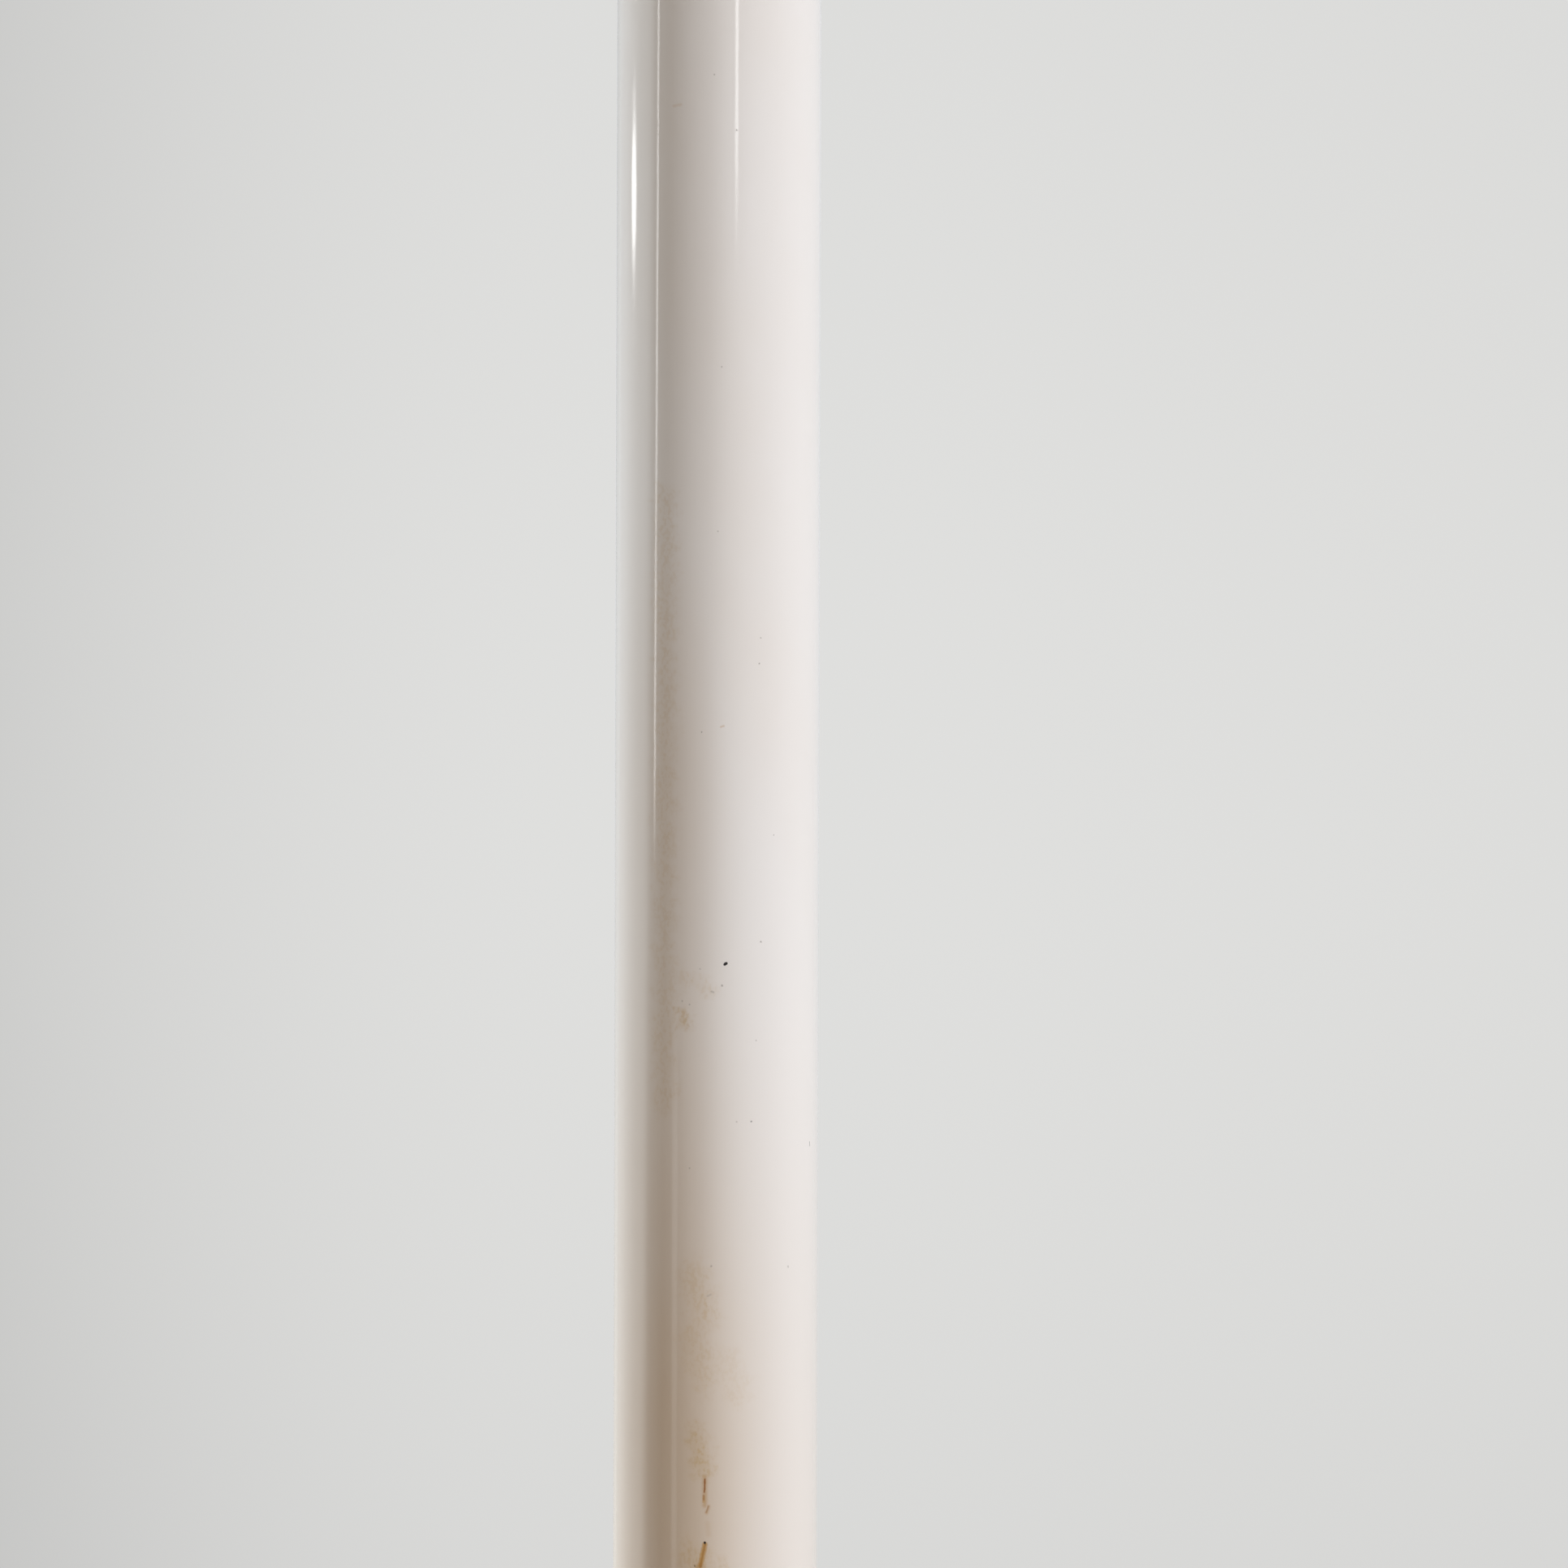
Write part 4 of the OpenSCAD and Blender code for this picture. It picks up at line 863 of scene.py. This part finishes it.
def make_piece(name, bm, slot, body, *stands_for, finish=None, bevel_mm=0.0):
    """Names, smooths and paints a mesh, and lets it ride on a body in place of CAD nodes."""
    mesh = bpy.data.meshes.new(name)
    bm.to_mesh(mesh)
    bm.free()
    mesh.shade_smooth()
    mesh.set_sharp_from_angle(angle=SHARP)
    piece = bpy.data.objects.new(name, mesh)
    bpy.context.scene.collection.objects.link(piece)
    if bevel_mm:
        bevel = piece.modifiers.new("soft_edges", "BEVEL")
        bevel.width, bevel.segments = bevel_mm * MM, 2
        bevel.limit_method, bevel.angle_limit = "ANGLE", SHARP
    normals = piece.modifiers.new("flat_faces_stay_flat", "WEIGHTED_NORMAL")
    normals.keep_sharp = True
    mesh.materials.append(finish or FINISHES[slot])
    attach(piece, body)
    if stands_for:
        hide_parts(*stands_for)
    print("piece", name, "with", len(mesh.polygons), "faces")
    return piece


# %% [markdown]
# ## The stem
# The tube is drawn steel, 32 mm across, one long smooth cylinder. Its highlights run along
# its whole length, and any facet would show in them, so it is spun in 256 steps. Its ends
# are just broken with a file.

# %% Stem tube
STEM_BORE, STEM_FOOT, STEM_HEAD = 14.5, 37.5, 1080.3
FILED = 0.2                     # mm taken off the edges of its ends
stem = turned([(STEM_BORE, STEM_FOOT), (STEM_R - FILED, STEM_FOOT), (STEM_R, STEM_FOOT + FILED),
               (STEM_R, STEM_HEAD - FILED), (STEM_R - FILED, STEM_HEAD),
               (STEM_BORE, STEM_HEAD)], 256)
make_piece("stem_tube_enamelled", stem, "cream_enamel", "lamp", "stem_tube", finish=tube_enamel)

# %% [markdown]
# ## The base
# The cover was spun on a lathe from one steel disc: pressed over a wooden form until it had
# its rounded edge, its flat top and the cove that sweeps up into the neck. One section of
# its skin, spun, is the whole shape. A drilled hole takes the foot switch and a notch in the
# rim takes the cord grommet.

# %% Base cover
SWITCH = (46.0, -79.674)        # the switch's axis, mm right and back of the stem
INLET_Z, INLET_R = 13.8, 5.65   # the notch for the cord grommet
SHEET = 1.5                     # the steel's thickness
EDGE_R, EDGE_Z = 12.0, 24.0     # the rounded edge: its radius and where it starts
COVE_R, COVE_X, COVE_Z = 26.0, 44.1, 62.0
NECK_TOP = 65.0
outer = ([(BASE_R, 4.3), (BASE_R, EDGE_Z)] + arc(BASE_R - EDGE_R, EDGE_Z, EDGE_R, 0, 90, 14)[1:]
         + arc(COVE_X, COVE_Z, COVE_R, -90, -180, 18) + [(18.1, 64.7), (17.8, NECK_TOP)])
inner = ([(16.9, NECK_TOP), (16.6, 64.7)] + arc(COVE_X, COVE_Z, COVE_R + SHEET, -180, -90, 18)
         + arc(BASE_R - EDGE_R, EDGE_Z, EDGE_R - SHEET, 90, 0, 14)
         + [(BASE_R - SHEET, 4.3), (143.8, 4.0), (144.7, 4.0)])
cover = turned(outer + inner, 192)
hole = moved(turned([(0, 30), (10.45, 30), (10.45, 40), (0, 40)], 64), *SWITCH)
cover = combined(cover, hole)
notch = prism([(-INLET_R, -2.0), (INLET_R, -2.0)] + arc(0, INLET_Z, INLET_R, 0, 180, 24), -150, -120)
cover = combined(cover, tipped(notch, 90))
make_piece("base_cover_spun", cover, "cream_enamel", "lamp", "base_cover", finish=base_enamel)

# %% Collar over the neck
collar = turned([(16.15, NECK_TOP), (18.25, NECK_TOP), (18.25, 62.0), (19.2, 62.0), (19.7, 62.5)]
                + arc(18.5, 71.8, 1.2, 0, 90, 8) + [(16.4, 73.0), (16.15, 72.75)], 128)
screw_hole = tipped(turned([(0, 14), (2.05, 14), (2.05, 22), (0, 22)], 48), -90)
collar = combined(collar, moved(screw_hole, z=69.0))
make_piece("stem_collar_turned", collar, "cream_enamel", "lamp", "stem_collar", finish=base_enamel)

# %% [markdown]
# ## Underneath
# Four rubber feet are pushed through the bottom plate. A moulded foot has a rolled edge and
# a shallow hollow that keeps it from rocking. The plate screws are pan heads with a cross
# recess: two bars sawn out of the head.

# %% Feet and plate screws
FOOT_AT, SCREW_TURN = 120.0, 20     # mm from the axis, and degrees to the first screw
foot = turned([(0, 0.9), (5.2, 0.9), (6.0, 0.0)] + arc(8.8, 1.2, 1.2, -90, 0, 6)
              + [(10.0, 4.0), (4.0, 4.0), (4.0, 7.4), (3.4, 8.0), (0, 8.0)], 64)
make_piece("rubber_feet_moulded", copies(foot, places_round(4, 45, FOOT_AT)), "rubber_grey",
           "lamp", "rubber_feet", bevel_mm=0.25)

screw = turned([(0, 1.8)] + arc(2.6, 2.8, 1.2, -100, 0, 6) + [(3.8, 4.0), (2.0, 4.0),
               (2.0, 15.4), (1.4, 16.0), (0, 16.0)], 48)
for turn_by in (0, 90):
    bar = prism([(-2.1, -0.45), (2.1, -0.45), (2.1, 0.45), (-2.1, 0.45)], 1.0, 3.2)
    screw = combined(screw, tipped(bar, turn_by + SCREW_TURN, "Z"))
make_piece("plate_screws_cross_head", copies(screw, places_round(4, SCREW_TURN, FOOT_AT)),
           "zinc_steel", "lamp", "plate_screws", bevel_mm=0.12)

# %% Cord grommet
flanges = turned([(3.6, 141.7), (4.1, 141.19)] + arc(7.0, 141.99, 0.8, -90, 0, 5)
                 + [(7.8, 143.19), (5.6, 143.19), (5.6, 145.05), (7.8, 145.05)]
                 + arc(7.0, 146.25, 0.8, 0, 90, 5) + [(4.1, 147.05), (3.6, 146.55)], 64)
flanges = moved(tipped(flanges, -90), z=INLET_Z)
web = prism([(-5.6, 143.25), (5.6, 143.25), (5.6, 145.05), (-5.6, 145.05)], 4.0, INLET_Z - 3.9)
make_piece("cord_grommet_moulded", combined(flanges, web, "UNION"), "rubber_grey", "lamp",
           "cord_grommet")

# %% [markdown]
# ## The foot switch
# A push button in an ivory plastic stands in a nickel ring nut. Fingers turn the nut, so its
# rim is knurled: the spin leaves smooth walls, and pulling every other vertex of the rim in
# towards the axis turns them into flutes. Under the button's flange stands a coil spring. Its
# foot rests on the floor of the housing, so it shortens towards that foot as the button
# sinks.

# %% Ring nut and button
def fluted(bm, count, depth, inside, low, high):
    """Pulls the wall outside a radius in by depth, count times round, between two heights."""
    for vert in bm.verts:
        radius = math.hypot(vert.co.x, vert.co.y)
        if radius > inside * MM and low * MM < vert.co.z < high * MM:
            pull = (1 - math.cos(count * math.atan2(vert.co.y, vert.co.x))) / 2
            vert.co.xy *= (radius - pull * depth * MM) / radius
    return bm


KNURLS, KNURL_DEPTH = 60, 0.45
nut = turned([(10.3, 36.0), (13.4, 36.0), (14.25, 36.7), (14.25, 39.8), (13.05, 41.0),
              (10.7, 41.0), (10.3, 40.6)], KNURLS * 4)
nut = moved(fluted(nut, KNURLS, KNURL_DEPTH, 14.0, 36.5, 40.0), *SWITCH)
make_piece("switch_ring_nut_knurled", nut, "nickel", "lamp", "switch_ring_nut")

button = turned([(0, 16.5), (2.5, 16.5), (2.5, 29.2), (10.0, 29.2), (10.0, 31.8), (8.0, 31.8)]
                + arc(5.5, 45.1, 2.5, 0, 90, 10) + [(4.6, 47.6), (3.0, 47.35), (0, 47.2)], 96)
make_piece("switch_button_moulded", moved(button, *SWITCH), "ivory_plastic", "switch_button",
           "switch_button")

# %% Return spring
SPRING_R, WIRE_R, SPRING_FOOT, SPRING_TOP, TRAVEL = 5.4, 0.5, 10.65, 29.05, 4.0
SPRING_TURNS = 5
spring = coil(SPRING_R, WIRE_R, SPRING_TURNS, SPRING_FOOT + WIRE_R, SPRING_TOP - WIRE_R)
spring = make_piece("switch_spring_wound", moved(spring, *SWITCH), "spring_steel", "lamp",
                    "switch_spring")
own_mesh(spring)

# %% [markdown]
# ## The shade carrier
# A turned hub with three nickelled rods. Each rod leaves the hub level, climbs in a gentle S
# and runs level again under the lip of the dome. The S is two arcs with the same radius, and
# the rod is a circle swept along the line. Rubber bushes on the tips hold the lip.

# %% Hub, arms and bushes
HUB_Z, TIP_Z, BEND_R, BEND = 1088.3, 1110.3, 30.0, 35.0
ARM_MIDDLE, ARM_TIP, BUSH_AT = 87.0, 173.5, 159.0       # mm out from the axis
climb = BEND_R * (1 - math.cos(math.radians(BEND)))
reach_x = BEND_R * math.sin(math.radians(BEND))
slope = (TIP_Z - HUB_Z - 2 * climb) / math.tan(math.radians(BEND))
first = ARM_MIDDLE - reach_x - slope / 2
last = first + 2 * reach_x + slope
arm = ([(10.0, HUB_Z)] + arc(first, HUB_Z + BEND_R, BEND_R, -90, BEND - 90, 10)
       + arc(last, TIP_Z - BEND_R, BEND_R, 90 + BEND, 90, 10) + [(ARM_TIP, TIP_Z)])
three_ways = places_round(3, 90)
hub = turned([(5.05, 1083.6), (5.35, 1083.3), (14.2, 1083.3), (15.0, 1084.1), (15.0, 1092.5),
              (14.2, 1093.3), (5.35, 1093.3), (5.05, 1093.0)], 96)
carrier = combined(hub, copies(rod(arm, 2.5, 32), three_ways), "UNION")
make_piece("shade_carrier_nickelled", carrier, "nickel", "lamp", "shade_carrier")

bush = turned([(2.55, 0.3), (2.85, 0)] + arc(7.2, 0.8, 0.8, -90, 0, 5) + arc(7.2, 2.2, 0.8, 0, 90, 5)
              + [(4.9, 3.0), (4.5, 3.4)] + arc(3.5, 15.0, 1.0, 0, 90, 6) + [(0, 16.0), (0, 14.6),
              (2.55, 14.6)], 48)
lying = Matrix.Translation((BUSH_AT * MM, 0, TIP_Z * MM)) @ Matrix.Rotation(math.pi / 2, 4, "Y")
outwards = [way @ lying for way in three_ways]
make_piece("carrier_bushes_moulded", copies(bush, outwards), "rubber_grey", "lamp",
           "carrier_bushes")

# %% [markdown]
# ## The lampholder
# A hexagon nut clamps the carrier, and the phenolic cup of the lampholder stands on it. The
# nut's corners are turned off, so it is what a hexagon and a turned blank have in common.
# The sleeve screws into the cup, and its grip is moulded with shallow flutes.

# %% Nut, cup and sleeve
NUT_AF, NUT_Z, NUT_H = 17.0, 1093.3, 4.0
corners = arc(0, 0, NUT_AF / math.sqrt(3), 0, 300, 5)
blank = turned([(5.05, NUT_Z), (8.3, NUT_Z), (9.85, NUT_Z + 0.8), (9.85, NUT_Z + NUT_H - 0.8),
                (8.3, NUT_Z + NUT_H), (5.05, NUT_Z + NUT_H)], 72)
make_piece("carrier_nut_chamfered", combined(blank, prism(corners, NUT_Z - 1, NUT_Z + NUT_H + 1),
           "INTERSECT"), "zinc_steel", "lamp", "carrier_nut")

CUP_Z = 1097.3
cup = turned([(r, CUP_Z + z) for r, z in (
    (5.05, 0), (10.6, 0), (11.0, 0.4), (12.0, 2.5), (13.6, 4.3), (16.2, 7.6), (18.7, 10.7),
    (19.6, 11.8), (20.0, 13.2), (20.0, 19.4), (19.6, 19.8), (19.6, 20.4), (20.0, 20.8),
    (20.0, 21.7), (19.7, 22.0), (18.4, 22.0), (18.4, 12.0), (15.4, 12.0), (11.0, 4.0),
    (5.05, 4.0))], 120)
make_piece("holder_cup_pressed", cup, "black_phenolic", "lamp", "holder_cup")

SLEEVE_Z, FLUTES = 1119.3, 36
sleeve = turned([(r, SLEEVE_Z + z) for r, z in (
    [(18.4, 0.0), (19.7, 0.0), (20.0, 0.3), (20.0, 1.4), (20.0, 7.6), (20.0, 8.7), (19.6, 9.4),
     (18.5, 10.5), (18.5, 24.6)] + arc(17.1, 24.6, 1.4, 0, 90, 6)
    + [(15.2, 26.0), (14.9, 25.7), (14.9, 24.2), (16.9, 24.2), (16.9, 10.0), (18.4, 9.0)])],
    FLUTES * 6)
sleeve = fluted(sleeve, FLUTES, 0.5, 19.9, SLEEVE_Z + 1.3, SLEEVE_Z + 7.7)
make_piece("holder_sleeve_fluted", sleeve, "black_phenolic", "lamp", "holder_sleeve")

# %% [markdown]
# ## Threads of the bulb and its socket
# An E27 thread is rolled into thin sheet: a soft wave that climbs 3.62 mm each turn. Spun
# walls with a ring of vertices every 0.45 mm are pulled in and out by that wave, so the
# same few lines thread the aluminium cap and the brass shell that it turns in.

# %% Screw shell and cap
PITCH, FADE = 3.62, 1.5         # mm for each turn, and mm over which the thread starts


def threaded(bm, depth, inside, low, high):
    """Rolls the thread into the walls outside a radius, fading in and out at its ends."""
    for vert in bm.verts:
        radius, z = math.hypot(vert.co.x, vert.co.y), vert.co.z / MM
        if radius > inside * MM and low < z < high:
            fade = min(1.0, (z - low) / FADE, (high - z) / FADE)
            wave = 1 - math.cos(2 * math.pi * z / PITCH - math.atan2(vert.co.y, vert.co.x))
            vert.co.xy *= (radius - fade * wave / 2 * depth * MM) / radius
    return bm


def wall(outside, inside, low, high, step=0.45):
    """A closed section of a thin upright wall with many points up both sides."""
    count = round((high - low) / step)
    levels = [low + (high - low) * i / count for i in range(count + 1)]
    return [(outside, z) for z in levels] + [(inside, z) for z in reversed(levels)]


shell = threaded(turned(wall(14.3, 13.8, 1121.3, 1142.3), 96), 0.45, 13.0, 1123.0, 1141.8)
make_piece("holder_screw_shell_rolled", shell, "brass", "lamp", "holder_screw_shell")

CAP_Z = 1129.8
CAP_LOW, CAP_H, CAP_STEPS = 2.4, 18.4, 46       # its wall: from, height and rings of points
levels = [CAP_Z + CAP_LOW + CAP_H * i / CAP_STEPS for i in range(CAP_STEPS + 1)]
cap = turned([(0, CAP_Z + 0.4), (10.2, CAP_Z + 0.4), (12.8, CAP_Z + 2.6)]
             + [(12.8, z) for z in levels[1:]] + [(12.8, CAP_Z + 21.0), (13.2, CAP_Z + 21.0)]
             + [(13.2, z) for z in reversed(levels)] + [(12.9, CAP_Z + 1.9), (10.6, CAP_Z + 0.1),
             (10.2, CAP_Z), (0, CAP_Z)], 96)
cap = threaded(cap, 0.42, 12.5, CAP_Z + 2.6, CAP_Z + 17.0)
make_piece("bulb_cap_rolled", cap, "cap_metal", "bulb", "bulb_cap")

# %% Opal bulb
GLOBE_Z, GLOBE_R, NECK_R, FLARE_R, GLASS = 1199.2, 30.0, 12.65, 35.0, 0.8
NECK_Z = 1143.8
flare_x = NECK_R + FLARE_R
rise = math.sqrt((GLOBE_R + FLARE_R) ** 2 - flare_x ** 2)
meet = math.degrees(math.atan2(rise, flare_x))
outside = ([(NECK_R, NECK_Z)] + arc(flare_x, GLOBE_Z - rise, FLARE_R, 180, 180 - meet, 16)
           + arc(0, GLOBE_Z, GLOBE_R, -meet, 89.99, 40)[1:-1] + [(0, GLOBE_Z + GLOBE_R)])
inside = ([(NECK_R - GLASS, NECK_Z)]
          + arc(flare_x, GLOBE_Z - rise, FLARE_R + GLASS, 180, 180 - meet, 16)
          + arc(0, GLOBE_Z, GLOBE_R - GLASS, -meet, 89.99, 40)[1:-1]
          + [(0, GLOBE_Z + GLOBE_R - GLASS)])
make_piece("bulb_glass_blown", turned(inside[::-1] + outside, 96), "bulb_glass", "bulb",
           "bulb_glass")

# %% [markdown]
# ## The dome
# The shade is one blown shell: a full crown whose section is a little squarer than an
# ellipse, an edge that curls in under it, and a flat lip that rests on the bushes. The
# section is followed point by point outside and inside and spun in 256 steps, so its rim
# stays round against the light.

# %% Shade
RIM_Z, SHADE_R, CURL_W, CURL_H, WALL_T = 1115.0, 220.0, 45.0, 38.0, 3.0
DOME_H, LIP_R, MOUTH_R, FULLNESS = 167.0, 175.0, 163.0, 2.25


def crown(radius, rise_by, steps=56):
    """A quarter of a superellipse, from the side of the dome to its top."""
    turns = [math.pi / 2 * i / steps for i in range(steps)]
    side = [(radius * math.cos(t) ** (2 / FULLNESS), rise_by * math.sin(t) ** (2 / FULLNESS))
            for t in turns]
    return [(r, RIM_Z + CURL_H + z) for r, z in side] + [(0, RIM_Z + CURL_H + rise_by)]


def curl(width, drop, steps=20):
    """A quarter of an ellipse, from the side of the dome down to the lip."""
    turns = [math.pi / 2 * i / steps for i in range(1, steps + 1)]
    return [(LIP_R + width * math.cos(t), RIM_Z + CURL_H - drop * math.sin(t)) for t in turns]


lip = arc(MOUTH_R + WALL_T / 2, RIM_Z + WALL_T / 2, WALL_T / 2, 90, 270, 10)
dome = (crown(SHADE_R - WALL_T, DOME_H - WALL_T)[::-1] + curl(CURL_W - WALL_T, CURL_H - WALL_T)
        + lip + curl(CURL_W, CURL_H)[::-1] + crown(SHADE_R, DOME_H))
make_piece("shade_blown", turned(dome, 256), "opal_acrylic", "shade", "shade")

# %% [markdown]
# ## The solids that stay
# Plates, plugs, leads, screws and contacts have the right shape already. Each only gets the
# finish that the record names for it.

# %% Paint the kept solids
slot_of = {part["node"]: part["material_slot"] for part in frame["record"]["subparts"]}
kept = [name for name, node in frame["nodes"].items() if not node.hide_render]
for name in kept:
    mesh = frame["nodes"][name].data
    mesh.materials.clear()
    mesh.materials.append(FINISHES[slot_of[name]])
print("kept and painted:", ", ".join(sorted(kept)))
